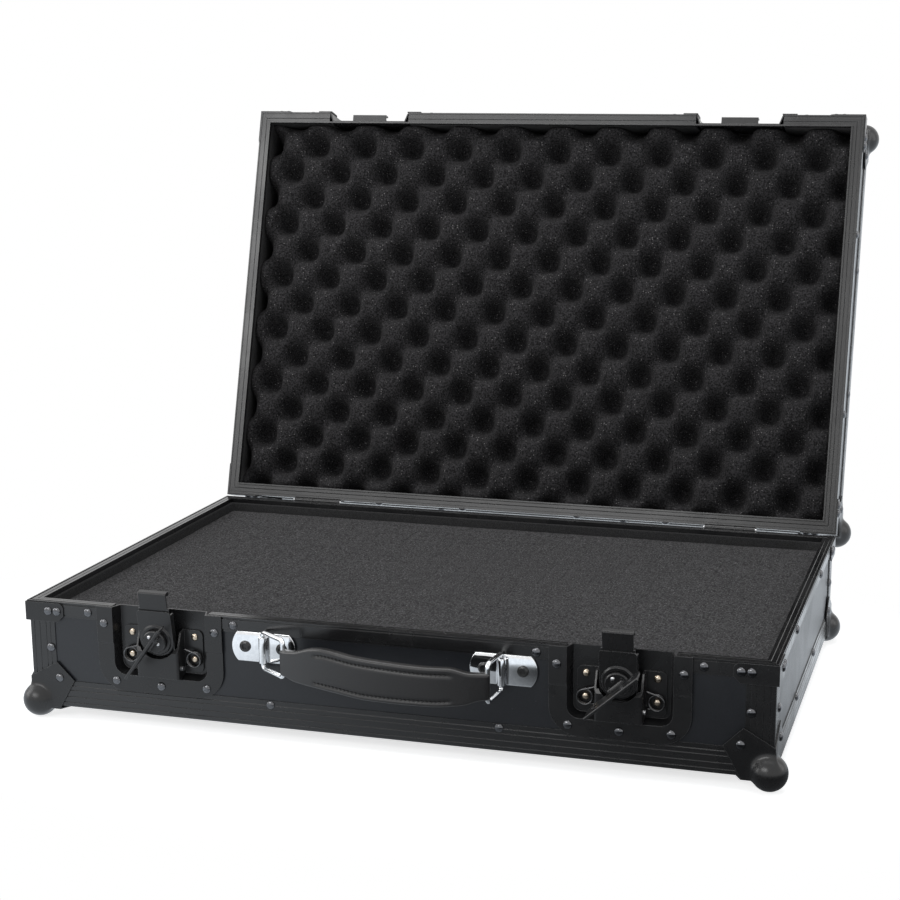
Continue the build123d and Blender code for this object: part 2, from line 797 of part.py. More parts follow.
def latch_cam():
    """A disc with an off-centre pin behind it and two ears in front, on the wing line along X."""
    disc = sheet(Circle(cam_radius), cam_base, cam_top)
    disc = chamfer(disc.edges().group_by(Axis.Z)[-1], cam_edge)
    cam = disc + sheet(Circle(cam_shaft_radius), hook_front + hook_gap / 2, cam_base)
    lead = radians(cam_pin_lead)
    pin_place = Pos(cam_throw * cos(lead), cam_throw * sin(lead))
    head_front = hook_back - cam_lift
    cam += pin_place * sheet(Circle(cam_pin_radius), head_front, cam_base)
    cam += pin_place * sheet(Circle(cam_pin_head), head_front - cam_pin_head_thickness, head_front)
    ear = Pos(0, wing_axis_out) * Circle(cam_ear_radius)
    ear += Pos(0, (wing_axis_out + cam_top) / 2) * Rectangle(2 * cam_ear_radius, wing_axis_out - cam_top)
    ear -= Pos(0, wing_axis_out) * Circle(wing_pin_radius)
    for side in (-1, 1):
        start = side * cam_ear_start
        cam += extrude(Plane.YZ.offset(start) * ear, amount=side * cam_ear_thickness)
        rivet = Cone(cam_rivet_radius, cam_rivet_crown, cam_rivet_height)
        cam += Pos(0, side * cam_rivet_place, cam_top + cam_rivet_height / 2) * rivet
    return cam


def wing_pin():
    length = 2 * (cam_ear_start + cam_ear_thickness)
    return Pos(0, 0, wing_axis_out) * Rot(0, 90, 0) * Cylinder(wing_pin_radius, length)


def latch_wing():
    """A two-lobed wing that stands on its pin, with a hole in each lobe and a rolled outer edge."""
    end = wing_length / 2
    lobe = [
        (wing_waist, 0),
        (wing_waist, wing_waist_top),
        (2 * wing_waist, wing_lobe_foot),
        (wing_hole_place, wing_lobe_foot),
        (end - wing_hem_radius, wing_lobe_foot + wing_hole_radius),
        (end, wing_hole_up),
        (end, wing_height),
    ]
    outline = Polygon(*lobe, *[(-x, y) for x, y in reversed(lobe)], align=None)
    for side in (-1, 1):
        outline -= Pos(side * wing_hole_place, wing_hole_up) * Circle(wing_hole_radius)
    plate = Pos(0, 0, wing_axis_out) * extrude(Plane.XZ * outline, amount=wing_sheet / 2, both=True)
    pin_line = Pos(0, 0, wing_axis_out) * Rot(0, 90, 0)
    knuckle_length = 2 * (cam_ear_start - wing_knuckle_gap)
    plate += pin_line * Cylinder(wing_knuckle_radius, knuckle_length)
    plate += Pos(0, 0, wing_height) * pin_line * Cylinder(wing_hem_radius, wing_length)
    return plate - pin_line * Cylinder(wing_pin_radius + running_gap, wing_length)


def keeper():
    """A folded keeper on the lid's dish floor, with an upturned lip that is higher at its ends."""
    shelf_top = keeper_shelf_up + keeper_sheet
    lip_front = -keeper_shelf_out
    lip_back = lip_front - keeper_sheet
    foot_top = keeper_shelf_up + keeper_foot_height
    profile = [
        (keeper_shelf_up, dish_floor),
        (keeper_shelf_up, lip_front),
        (shelf_top + keeper_lip_rise, lip_front),
        (shelf_top + keeper_lip_rise, lip_back),
        (shelf_top, lip_back),
        (shelf_top, ear_face),
        (foot_top, ear_face),
        (foot_top, dish_floor),
    ]
    keeper_solid = across(profile, keeper_width / 2)
    end_half = keeper_width / 2
    lip_top = shelf_top + keeper_lip_rise
    for side in (-1, 1):
        x_limits = sorted((side * (end_half - keeper_end_width), side * end_half))
        keeper_solid += block(x_limits, (lip_top, lip_top + keeper_end_rise), (lip_back, lip_front))
    return keeper_solid


# Handle

def handle_plate(side):
    """A riveted plate with cut corners and a rolled barrel for the ring."""
    plate = Pos(side * handle_plate_place, 0) * Rectangle(handle_plate_length, handle_plate_height)
    plate = chamfer(plate.vertices(), handle_plate_corner)
    front = -half_depth - handle_plate_thickness
    shape = Pos(0, 0, handle_level) * upward(plate, front, -half_depth)
    barrel = Pos(side * handle_barrel_place, barrel_y, ring_level)
    radius = ring_wire_radius + ring_bore_gap + handle_barrel_wall
    shape += barrel * Cylinder(radius, handle_barrel_height)
    half = handle_barrel_height / 2
    x_middle = side * handle_barrel_place
    x_limits = (x_middle - radius, x_middle + radius)
    shape += block(x_limits, (barrel_y, front), (ring_level - half, ring_level + half))
    return shape - barrel * Cylinder(ring_wire_radius + ring_bore_gap, handle_plate_height)


def handle_screws():
    """Domed screws with a hexagonal recess, two in each handle plate."""
    head = dome_head(screw_radius, screw_height)
    recess = RegularPolygon(screw_recess, 6)
    head -= sheet(recess, screw_height - screw_recess_depth, 2 * screw_height)
    seat = -half_depth - handle_plate_thickness
    places = [side * handle_plate_place + end * screw_place for side in (-1, 1) for end in (-1, 1)]
    return [Pos(place, seat, handle_level) * Rot(90, 0, 0) * head for place in places]


def handle_ring():
    """A wire ring with its near bar on the origin's Z axis and its far bar out along minus Y."""
    half = ring_height_between / 2
    corners = [(0, 0, -half), (0, -ring_reach, -half), (0, -ring_reach, half), (0, 0, half)]
    path = FilletPolyline(*corners, radius=ring_bend, close=True)
    start = path.edges().filter_by(Axis.Z)[0]
    section = Plane(origin=start @ 0.5, z_dir=start % 0.5) * Circle(ring_wire_radius)
    return sweep(section, path=path)


def ring_angles():
    """The inward angles of both rings from straight out, so that the grip spans their far bars."""
    left = radians(ring_left_angle)
    low, high = 0.0, left
    for _ in range(60):
        right = (low + high) / 2
        along = 2 * handle_barrel_place - ring_reach * (sin(left) + sin(right))
        out = ring_reach * (cos(right) - cos(left))
        if hypot(along, out) > grip_span:
            low = right
        else:
            high = right
    return ring_left_angle, degrees((low + high) / 2)


def far_bars():
    """The plan places of the far bars of the left and the right ring."""
    left, right = [radians(angle) for angle in ring_angles()]
    left_bar = (-handle_barrel_place + ring_reach * sin(left), barrel_y - ring_reach * cos(left))
    right_bar = (handle_barrel_place - ring_reach * sin(right), barrel_y - ring_reach * cos(right))
    return left_bar, right_bar


def handle_grip():
    """A bowed padded grip with a loop round each far bar; the right loop is slack along the grip."""
    half = grip_span / 2
    bow = ThreePointArc((-half, 0), (0, -grip_bow), (half, 0))
    plan = SlotArc(bow, grip_thickness)
    loop_top = tray_rim - grip_loop_drop + grip_loop_height / 2
    loop_foot = loop_top - grip_loop_height
    middle_top = tray_rim - grip_middle_drop + grip_middle_height / 2
    middle_foot = middle_top - grip_middle_height
    side = [
        (half + grip_thickness, loop_foot),
        (half + grip_thickness, loop_top),
        (half - grip_loop_length, loop_top),
        (half - grip_loop_length - grip_shoulder, middle_top),
    ]
    foot = [(half - grip_loop_length - grip_shoulder, middle_foot), (half - grip_loop_length, loop_foot)]
    outline = side + [(-x, z) for x, z in reversed(side)] + [(-x, z) for x, z in reversed(foot)] + foot
    body = sheet(plan, loop_foot - grip_middle_height, loop_top + grip_middle_height)
    body &= upward(Polygon(*outline, align=None), -2 * half, half)
    hole = ring_wire_radius + grip_pin_gap
    tall = 2 * grip_middle_height
    middle = Pos(0, 0, tray_rim - grip_loop_drop)
    body -= middle * Pos(-half, 0) * Cylinder(hole, tall)
    slack = Pos(half - grip_slack / 2, 0) * SlotCenterToCenter(grip_slack, 2 * hole)
    body -= middle * sheet(slack, -tall, tall)
    left_bar, right_bar = far_bars()
    turn = degrees(atan2(right_bar[1] - left_bar[1], right_bar[0] - left_bar[0]))
    middle_place = ((left_bar[0] + right_bar[0]) / 2, (left_bar[1] + right_bar[1]) / 2)
    return Pos(*middle_place) * Rot(0, 0, turn) * body


# Writing the parts

def save_case(prefix, rim_level, notch_depth, is_lid):
    """The panels, trims, rims, corners and lining of the tray or of the lid."""
    def place(shapes):
        shapes = shapes if isinstance(shapes, (list, tuple)) else [shapes]
        return [as_lid(shape) for shape in shapes] if is_lid else shapes

    front, back, left, right = rims(rim_level, is_lid)
    flat_panel = "top_panel" if is_lid else "bottom_panel"
    flat_edges = "outer_edges" if is_lid else "bottom_edges"
    save(f"{prefix}_{flat_panel}", *place(bottom_panel()))
    save(f"{prefix}_front_panel", *place(front_panel(rim_level, notch_depth)))
    save(f"{prefix}_back_panel", *place(Rot(0, 0, 180) * front_panel(rim_level, 0)))
    save(f"{prefix}_side_panels", *place(side_panels(rim_level)))
    save(f"{prefix}_{flat_edges}", *place(bottom_edges()))
    save(f"{prefix}_upright_edges", *place(upright_edges(rim_level)))
    save(f"{prefix}_rim_front", *place(front))
    save(f"{prefix}_rim_back", *place(back))
    save(f"{prefix}_rim_sides", *place([left, right]))
    save(f"{prefix}_rim_brackets", *place(rim_brackets(rim_level)))
    save(f"{prefix}_ball_corners", *place(ball_corners()))
    save(f"{prefix}_wall_lining", *place(wall_lining(rim_level, notch_depth)))


def save_latch(side_name, x_place, wing_line):
    """One latch: its fixed parts on the tray, the moving parts and the keeper on the lid."""
    wall = on_front(x_place)
    carried = wall * cover_tilted
    turned = carried * Pos(0, -cam_drop, 0) * Rot(0, 0, wing_line)
    dish = latch_dish(dish_flange_depth, dish_opening_depth, dish_step_at, 0)
    save(f"latch_dish_{side_name}", wall * dish)
    save(f"latch_frame_{side_name}", wall * latch_frame())
    save(f"latch_springs_{side_name}", *[wall * spring for spring in both_sides(spring_coil())])
    save(f"latch_frame_rivets_{side_name}", *[wall * rivet for rivet in frame_rivets()])
    save(f"latch_cover_{side_name}", carried * latch_cover())
    save(f"latch_hook_{side_name}", carried * latch_hook())
    save(f"latch_cam_{side_name}", turned * latch_cam())
    save(f"latch_wing_{side_name}", turned * latch_wing())
    save(f"latch_wing_pin_{side_name}", turned * wing_pin())
    lid_dish = latch_dish(keeper_flange_depth, keeper_opening_depth, keeper_step_at, -trim_thickness)
    lid_dish = Pos(0, closing_gap, 0) * mirror(lid_dish, about=Plane.XZ)
    save(f"keeper_dish_{side_name}", lid_opened * wall * lid_dish)
    save(f"keeper_{side_name}", lid_opened * wall * keeper())


def save_handle():
    left_angle, right_angle = ring_angles()
    left = Pos(-handle_barrel_place, barrel_y, ring_level) * Rot(0, 0, left_angle)
    right = Pos(handle_barrel_place, barrel_y, ring_level) * Rot(0, 0, -right_angle)
    save("handle_plate_left", handle_plate(-1))
    save("handle_plate_right", handle_plate(1))
    save("handle_screws", *handle_screws())
    save("handle_ring_left", left * handle_ring())
    save("handle_ring_right", right * handle_ring())
    save("handle_grip", handle_grip())


def main():
    os.makedirs("parts", exist_ok=True)
    save_case("tray", tray_rim, dish_notch_drop, False)
    save_case("lid", lid_rim, keeper_notch_rise, True)
    save("pick_foam_block", foam_block(tray_rim, pick_foam_drop))
    save("egg_crate_foam", as_lid(egg_crate_block()))
    save("hinge_leaves_tray", *hinge_leaf(0, False))
    save("hinge_leaves_lid", *[lid_opened * leaf for leaf in hinge_leaf(1, True)])
    save("hinge_pins", *hinge_pins())
    save_latch("left", -latch_place, wing_line_left)
    save_latch("right", latch_place, wing_line_right)
    save("latch_pivot_pins", *[on_front(side * latch_place) * pivot_pin() for side in (-1, 1)])
    save_handle()


main()
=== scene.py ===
import json
import math

import bmesh
import bpy
import numpy as np
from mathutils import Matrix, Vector
from mathutils.bvhtree import BVHTree


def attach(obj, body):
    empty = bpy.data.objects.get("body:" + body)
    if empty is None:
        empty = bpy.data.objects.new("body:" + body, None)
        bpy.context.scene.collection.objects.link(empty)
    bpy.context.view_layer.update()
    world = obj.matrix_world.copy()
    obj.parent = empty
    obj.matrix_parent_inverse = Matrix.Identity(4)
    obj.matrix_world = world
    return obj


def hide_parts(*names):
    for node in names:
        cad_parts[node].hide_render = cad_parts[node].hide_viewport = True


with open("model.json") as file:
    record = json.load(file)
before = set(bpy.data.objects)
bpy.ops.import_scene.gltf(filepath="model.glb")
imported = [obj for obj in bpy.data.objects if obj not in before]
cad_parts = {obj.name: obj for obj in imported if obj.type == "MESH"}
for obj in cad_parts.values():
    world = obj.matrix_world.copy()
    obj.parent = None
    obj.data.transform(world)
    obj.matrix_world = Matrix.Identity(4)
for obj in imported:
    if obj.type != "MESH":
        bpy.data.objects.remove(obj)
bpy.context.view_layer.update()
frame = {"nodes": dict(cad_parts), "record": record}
nodes = frame["nodes"]

# Sizes of the case, in metres, as the solids have them
HALF_LENGTH = 0.315
HALF_DEPTH = 0.203
TRIM = 0.0012
TRAY_RIM = 0.0913
LID_HEIGHT = 0.075
LID_RIM = LID_HEIGHT - TRIM
CLOSING_GAP = 0.0004
LID_ANGLE = 107.0
HINGE_Y = 0.206
HINGE_Z = TRAY_RIM + CLOSING_GAP / 2
LATCH_X = 0.1945
BALL_FOOT = -0.012
FOAM_HALF_X = 0.3044
FOAM_HALF_Y = 0.1924
FOAM_BASE = 0.0068
PICK_FOAM_DROP = 0.0127
RIVET_RADIUS = 0.0038
RIVET_HEIGHT = 0.0019
LINING_GAP = 0.0080
MM = 0.001

# The photograph's camera
CAMERA_PLACE = (0.46957, -1.51182, 0.51898)
CAMERA_TILT = math.radians(90 - 13.477)
CAMERA_TURN = math.radians(16.074)
CAMERA_LENS = 72.76
CAMERA_SHIFT = (-0.0476, 0.0707)


# Node trees

def feed(tree, socket, value):
    """Links a socket to another, or sets its own value."""
    if isinstance(value, bpy.types.NodeSocket):
        tree.links.new(value, socket)
    else:
        socket.default_value = value


def add(tree, kind, settings=(), **values):
    """A shader node with its settings and the values of its sockets, whose names hold no blank."""
    node = tree.nodes.new("ShaderNode" + kind)
    for name, value in dict(settings).items():
        setattr(node, name, value)
    for name, value in values.items():
        feed(tree, node.inputs[name], value)
    return node


def math_node(tree, operation, first, second=0.0, third=0.0):
    """The result of one sum on values or sockets."""
    node = tree.nodes.new("ShaderNodeMath")
    node.operation = operation
    for socket, value in zip(node.inputs, (first, second, third)):
        feed(tree, socket, value)
    return node.outputs[0]


def vector_node(tree, operation, first, second):
    """A node that does one sum on two vectors."""
    node = add(tree, "VectorMath", {"operation": operation})
    feed(tree, node.inputs[0], first)
    feed(tree, node.inputs[1], second)
    return node


def mixed(tree, factor, first, second):
    """A colour between two others."""
    node = tree.nodes.new("ShaderNodeMix")
    node.data_type = "RGBA"
    for number, value in ((0, factor), (6, first), (7, second)):
        feed(tree, node.inputs[number], value)
    return node.outputs[2]


def mixed_shaders(tree, factor, first, second):
    """One shader at a factor of 0 and the other at 1."""
    node = tree.nodes.new("ShaderNodeMixShader")
    for socket, value in zip(node.inputs, (factor, first, second)):
        tree.links.new(value, socket)
    return node.outputs[0]


def mapped(tree, value, low, high, to_low=0.0, to_high=1.0):
    """A value taken from one range to another, smoothly, and held within it."""
    node = add(tree, "MapRange", {"interpolation_type": "SMOOTHSTEP"}, Value=value)
    for socket, number in zip(node.inputs[1:5], (low, high, to_low, to_high)):
        feed(tree, socket, number)
    return node.outputs[0]


def new_group(name, inputs, outputs):
    """An empty node group with its sockets; gives the tree, what comes in and what goes out."""
    tree = bpy.data.node_groups.new(name, "ShaderNodeTree")
    for label, kind, value in inputs:
        socket = tree.interface.new_socket(label, in_out="INPUT", socket_type="NodeSocket" + kind)
        socket.default_value = value
    for label, kind in outputs:
        tree.interface.new_socket(label, in_out="OUTPUT", socket_type="NodeSocket" + kind)
    return tree, tree.nodes.new("NodeGroupInput").outputs, tree.nodes.new("NodeGroupOutput").inputs


def grain_group():
    """Fine pebbles in Object coordinates, which may be drawn out along one axis: Value 0 to 1."""
    tree, given, result = new_group(
        "grain", [("Scale", "Float", 900.0), ("Stretch", "Vector", (1.0, 1.0, 1.0))],
        [("Value", "Float")])
    place = add(tree, "TexCoord").outputs["Object"]
    drawn = vector_node(tree, "MULTIPLY", place, given["Stretch"]).outputs[0]
    noise = add(tree, "TexNoise", Vector=drawn, Scale=given["Scale"], Detail=3.0, Roughness=0.6)
    tree.links.new(noise.outputs["Fac"], result["Value"])
    return tree


def edge_group():
    """Where a rounded edge would turn away from the face: Mask for the edge colour painted on as edge
    light, broken up by noise, and the rounded Normal."""
    tree, given, result = new_group(
        "painted_edge_shading", [("Radius", "Float", 0.0005)], [("Mask", "Float"), ("Normal", "Vector")])
    round_over = add(tree, "Bevel", {"samples": 4}, Radius=given["Radius"])
    normal = add(tree, "NewGeometry").outputs["Normal"]
    facing = vector_node(tree, "DOT_PRODUCT", round_over.outputs[0], normal)
    turned = mapped(tree, math_node(tree, "SUBTRACT", 1.0, facing.outputs["Value"]), 0.01, 0.22)
    place = add(tree, "TexCoord").outputs["Object"]
    edge_breakup = add(tree, "TexNoise", Vector=place, Scale=160.0, Detail=4.0, Roughness=0.7)
    kept = mapped(tree, edge_breakup.outputs["Fac"], 0.35, 0.65, 0.5, 1.0)
    tree.links.new(math_node(tree, "MULTIPLY", turned, kept), result["Mask"])
    tree.links.new(round_over.outputs[0], result["Normal"])
    return tree


def specks_group():
    """Scattered pinpoints, one to a cell of a Voronoi pattern at most: Mask is 1 on a speck."""
    tree, given, result = new_group(
        "specks", [("Scale", "Float", 700.0), ("Size", "Float", 0.2), ("Share", "Float", 0.3)],
        [("Mask", "Float")])
    place = add(tree, "TexCoord").outputs["Object"]
    cells = add(tree, "TexVoronoi", Vector=place, Scale=given["Scale"])
    half = math_node(tree, "MULTIPLY", given["Size"], 0.5)
    near = mapped(tree, cells.outputs["Distance"], half, given["Size"], 1.0, 0.0)
    picked = add(tree, "SeparateColor", Color=cells.outputs["Color"]).outputs[0]
    chosen = math_node(tree, "LESS_THAN", picked, given["Share"])
    tree.links.new(math_node(tree, "MULTIPLY", near, chosen), result["Mask"])
    return tree


def smudge_group():
    """Broad soft patches, as handling leaves: Value 0 to 1."""
    tree, _, result = new_group("smudges", [], [("Value", "Float")])
    place = add(tree, "TexCoord").outputs["Object"]
    noise = add(
        tree, "TexNoise", Vector=place, Scale=14.0, Detail=5.0, Roughness=0.65, Distortion=0.6)
    tree.links.new(mapped(tree, noise.outputs["Fac"], 0.3, 0.7), result["Value"])
    return tree


groups = {
    "grain": grain_group(), "painted_edge_shading": edge_group(), "specks": specks_group(),
    "smudges": smudge_group()}


def placed(tree, name, **values):
    """One of the shared groups in a material, with its own values."""
    node = tree.nodes.new("ShaderNodeGroup")
    node.node_tree = groups[name]
    for label, value in values.items():
        node.inputs[label].default_value = value
    return node.outputs


# Finishes

def finish(name, color, lighter, roughness, grain, metallic=0.0, coat=0.0, specular=0.5,
           stretch=(1, 1, 1), edge=None, radius=0.0005, specks=None, smudge=0.06):
    """A finish: two tones mixed by grain, an edge colour painted on rounded edges as edge light,
    specks of dust, smudged roughness and a grained surface. Grain is (scale, depth in m), and specks
    (scale, size, share, colour)."""
    material = bpy.data.materials.new(name)
    material.use_nodes = True
    tree = material.node_tree
    shader = tree.nodes["Principled BSDF"]
    shader.inputs["Metallic"].default_value = metallic
    shader.inputs["Specular IOR Level"].default_value = specular
    shader.inputs["Coat Weight"].default_value = coat
    shader.inputs["Coat Roughness"].default_value = 0.12
    pebbles = placed(tree, "grain", Scale=grain[0], Stretch=stretch)["Value"]
    tone = mixed(tree, mapped(tree, pebbles, 0.35, 0.7), (*color, 1), (*lighter, 1))
    if specks:
        dust = placed(tree, "specks", Scale=specks[0], Size=specks[1], Share=specks[2])["Mask"]
        tone = mixed(tree, dust, tone, (*specks[3], 1))
    bump = add(tree, "Bump", Strength=1.0, Distance=grain[1], Height=pebbles)
    # Rounded edges get the edge colour painted on: a painted highlight on black finishes, painted
    # shade on chrome.
    if edge:
        painted_edge = placed(tree, "painted_edge_shading", Radius=radius)
        tone = mixed(tree, painted_edge["Mask"], tone, (*edge, 1))
        tree.links.new(painted_edge["Normal"], bump.inputs["Normal"])
    patches = placed(tree, "smudges")["Value"]
    tree.links.new(tone, shader.inputs["Base Color"])
    gloss = mapped(tree, patches, 0, 1, roughness - smudge, roughness + smudge)
    tree.links.new(gloss, shader.inputs["Roughness"])
    tree.links.new(bump.outputs[0], shader.inputs["Normal"])
    return material


LAMINATE = finish(
    "black_laminate", (0.0082, 0.0092, 0.0116), (0.0132, 0.0148, 0.0186), 0.33, (1300, 0.00006),
    specks=(260, 0.16, 0.1, (0.04, 0.04, 0.045)), smudge=0.025)
# Its edge colour is a painted edge highlight.
ANODISED = finish(
    "black_anodised", (0.008, 0.008, 0.0085), (0.012, 0.012, 0.0125), 0.24, (1400, 0.000004),
    specular=0.6, stretch=(0.3, 1, 1), edge=(0.06, 0.06, 0.062), radius=0.0003)
# Its edge colour is a painted edge highlight.
POWDER = finish(
    "black_powder_coat", (0.007, 0.007, 0.0075), (0.010, 0.010, 0.0105), 0.28, (800, 0.000012),
    edge=(0.14, 0.14, 0.145), radius=0.0005, specks=(240, 0.14, 0.05, (0.04, 0.04, 0.04)))
FOAM = finish(
    "open_cell_foam", (0.022, 0.0215, 0.022), (0.100, 0.098, 0.100), 0.95, (720, 0.0005),
    specular=0.1, specks=(520, 0.26, 0.28, (0.26, 0.26, 0.26)), smudge=0.03)
EGG_FOAM = finish(
    "egg_foam", (0.009, 0.0088, 0.009), (0.050, 0.048, 0.050), 0.96, (640, 0.0005),
    specular=0.1, specks=(400, 0.22, 0.3, (0.26, 0.25, 0.25)), smudge=0.03)
LINING = finish(
    "lining_foam", (0.020, 0.020, 0.020), (0.052, 0.051, 0.052), 0.9, (1200, 0.0002),
    specular=0.15, smudge=0.03)
BRASS = finish(
    "brassed_rivets", (0.50, 0.42, 0.33), (0.66, 0.57, 0.46), 0.22, (900, 0.00001), metallic=1.0)
RIVET = finish(
    "dark_nickel_rivets", (0.10, 0.102, 0.108), (0.17, 0.172, 0.18), 0.12, (1100, 0.000008),
    metallic=1.0)
SPRING = finish(
    "oiled_spring_wire", (0.075, 0.075, 0.077), (0.13, 0.13, 0.133), 0.2, (900, 0.00002),
    metallic=0.9)
STEEL = finish(
    "bright_steel", (0.52, 0.52, 0.53), (0.66, 0.66, 0.67), 0.24, (900, 0.00002),
    metallic=1.0, stretch=(1, 1, 0.1))
# Its darker edge colour is painted edge shade.
CHROME = finish(
    "chrome_plate", (0.80, 0.81, 0.83), (0.88, 0.89, 0.90), 0.09, (300, 0.00001),
    metallic=1.0, edge=(0.55, 0.55, 0.56), radius=0.0003, smudge=0.03)
# Its edge colour is a painted edge highlight.
SCREW = finish(
    "black_screws", (0.014, 0.014, 0.014), (0.024, 0.024, 0.024), 0.3, (900, 0.00002),
    edge=(0.07, 0.07, 0.07), radius=0.0003)
LEATHER = finish(
    "black_leather", (0.009, 0.0085, 0.009), (0.014, 0.0135, 0.014), 0.36, (1100, 0.00009),
    coat=0.1, smudge=0.07)
THREAD = finish(
    "black_thread", (0.020, 0.020, 0.020), (0.045, 0.045, 0.045), 0.5, (2500, 0.0001))

SLOT_FINISHES = {
    "laminated_plywood": LAMINATE, "black_aluminium": ANODISED, "black_steel": POWDER,
    "foam": FOAM, "brass_rivets": BRASS, "spring_steel": SPRING, "bright_steel": STEEL,
    "chrome": CHROME, "grip_leather": LEATHER}
for entry in frame["record"]["subparts"]:
    materials = nodes[entry["node"]].data.materials
    materials.clear()
    is_screw = entry["node"] == "handle_screws"
    materials.append(SCREW if is_screw else SLOT_FINISHES[entry["material_slot"]])


# Camera, floor and lights

def make_camera():
    """The camera that took the photograph, as found from the case's straight edges."""
    data = bpy.data.cameras.new("camera")
    camera = bpy.data.objects.new("camera", data)
    bpy.context.scene.collection.objects.link(camera)
    camera.location = CAMERA_PLACE
    camera.rotation_euler = (CAMERA_TILT, 0, CAMERA_TURN)
    data.lens = CAMERA_LENS
    data.sensor_width = 36
    data.sensor_fit = "HORIZONTAL"
    data.shift_x, data.shift_y = CAMERA_SHIFT
    data.clip_end = 50
    bpy.context.scene.camera = camera


def area_light(name, place, target, size, power):
    """A soft rectangular lamp that points at a target."""
    data = bpy.data.lights.new(name, "AREA")
    data.shape = "RECTANGLE"
    data.size, data.size_y = size
    data.energy = power
    lamp = bpy.data.objects.new(name, data)
    bpy.context.scene.collection.objects.link(lamp)
    lamp.location = place
    lamp.rotation_euler = (Vector(target) - Vector(place)).to_track_quat("-Z", "Y").to_euler()


def make_lights():
    """A broad window high to the front left, one over the case, and weaker fill from both sides."""
    area_light("window_lamp", (-0.95, -2.35, 1.62), (0, 0.2, 0.25), (1.7, 0.9), 20)
    area_light("top_lamp", (0.0, 0.2, 2.2), (0, 0.1, 0.1), (2.0, 1.2), 24)
    area_light("left_lamp", (-1.9, -0.5, 0.9), (0, 0, 0.15), (0.9, 1.4), 12)
    area_light("right_lamp", (1.9, 0.3, 1.0), (0, 0, 0.15), (0.8, 1.4), 4.5)


def shows_white(tree):
    """1 for the rays that see the studio itself: from the camera, off gloss or through glass."""
    path = add(tree, "LightPath").outputs
    seen = math_node(tree, "MAXIMUM", path["Is Camera Ray"], path["Is Glossy Ray"])
    return math_node(tree, "MAXIMUM", seen, path["Is Transmission Ray"])


def make_world():
    """White where the studio itself is seen, and a weak cool light on everything else."""
    world = bpy.data.worlds.new("studio")
    bpy.context.scene.world = world
    world.use_nodes = True
    tree = world.node_tree
    tree.nodes.clear()
    seen = add(tree, "Background", Color=(1, 1, 1, 1), Strength=1.0)
    light = add(tree, "Background", Color=(0.90, 0.95, 1, 1), Strength=0.3)
    mix = mixed_shaders(tree, shows_white(tree), light.outputs[0], seen.outputs[0])
    tree.links.new(mix, tree.nodes.new("ShaderNodeOutputWorld").inputs["Surface"])


def make_floor():
    """A wide pale floor. Round the case it takes the shadow, and further out it is the backdrop's
    white. Gloss rays see a painted reflection on it instead: a bluish glow, dark in front of the
    case's right half and bright elsewhere."""
    mesh = bpy.data.meshes.new("floor")
    reach = 12.0
    plan = ((-reach, -reach), (reach, -reach), (reach, reach), (-reach, reach))
    mesh.from_pydata([(x, y, BALL_FOOT) for x, y in plan], [], [(0, 1, 2, 3)])
    floor = bpy.data.objects.new("floor", mesh)
    bpy.context.scene.collection.objects.link(floor)
    material = bpy.data.materials.new("floor_white")
    material.use_nodes = True
    tree = material.node_tree
    shader = tree.nodes["Principled BSDF"]
    shader.inputs["Base Color"].default_value = (0.9, 0.9, 0.9, 1)
    shader.inputs["Roughness"].default_value = 0.9
    shader.inputs["Specular IOR Level"].default_value = 0.0
    path = add(tree, "LightPath").outputs
    place = add(tree, "TexCoord").outputs["Object"]

    def away_from(centre, size):
        """The distance from a place on the floor, in shares of a size along X and along Y."""
        moved = vector_node(tree, "SUBTRACT", place, centre)
        shared = vector_node(tree, "DIVIDE", moved.outputs[0], size)
        length = add(tree, "VectorMath", {"operation": "LENGTH"})
        tree.links.new(shared.outputs[0], length.inputs[0])
        return length.outputs["Value"]

    far = mapped(tree, away_from((0, 0, BALL_FOOT), (HALF_LENGTH, HALF_DEPTH, 1)), 1.1, 2.0)
    white = add(tree, "Emission", Strength=1.0)
    lifted = add(tree, "Emission", Strength=0.7)
    near = tree.nodes.new("ShaderNodeAddShader")
    tree.links.new(shader.outputs[0], near.inputs[0])
    tree.links.new(lifted.outputs[0], near.inputs[1])
    seen = mixed_shaders(tree, far, near.outputs[0], white.outputs[0])
    # Painted reflection: the glow that only gloss rays see, dark in front of the case's right half.
    painted_reflection_level = mapped(tree, away_from((0.42, -0.42, BALL_FOOT), (0.62, 0.46, 1)), 0.35, 1.25, 0.05, 1.1)
    painted_reflection = add(tree, "Emission", Color=(0.88, 0.94, 1.0, 1), Strength=painted_reflection_level)
    glossy = mixed_shaders(tree, path["Is Glossy Ray"], seen, painted_reflection.outputs[0])
    lighting = mixed_shaders(tree, path["Is Diffuse Ray"], glossy, shader.outputs[0])
    tree.links.new(lighting, tree.nodes["Material Output"].inputs["Surface"])
    mesh.materials.append(material)


make_camera()
make_lights()
make_world()
make_floor()
bpy.context.scene.view_settings.view_transform = "Standard"


# Surfaces worked out on grids of points

def surface(name, points, faces, body, material, merge=None):
    """A mesh object from points and faces, shaded smooth, that rides on a body."""
    mesh = bpy.data.meshes.new(name)
    mesh.from_pydata(np.asarray(points).reshape(-1, 3).tolist(), [], faces)
    if merge is not None:
        work = bmesh.new()
        work.from_mesh(mesh)
        bmesh.ops.remove_doubles(work, verts=work.verts, dist=merge)
        bmesh.ops.recalc_face_normals(work, faces=work.faces)
        work.to_mesh(mesh)
        work.free()
    mesh.validate()
    mesh.polygons.foreach_set("use_smooth", np.ones(len(mesh.polygons), bool))
    mesh.materials.append(material)
    obj = bpy.data.objects.new(name, mesh)
    bpy.context.scene.collection.objects.link(obj)
    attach(obj, body)
    return obj


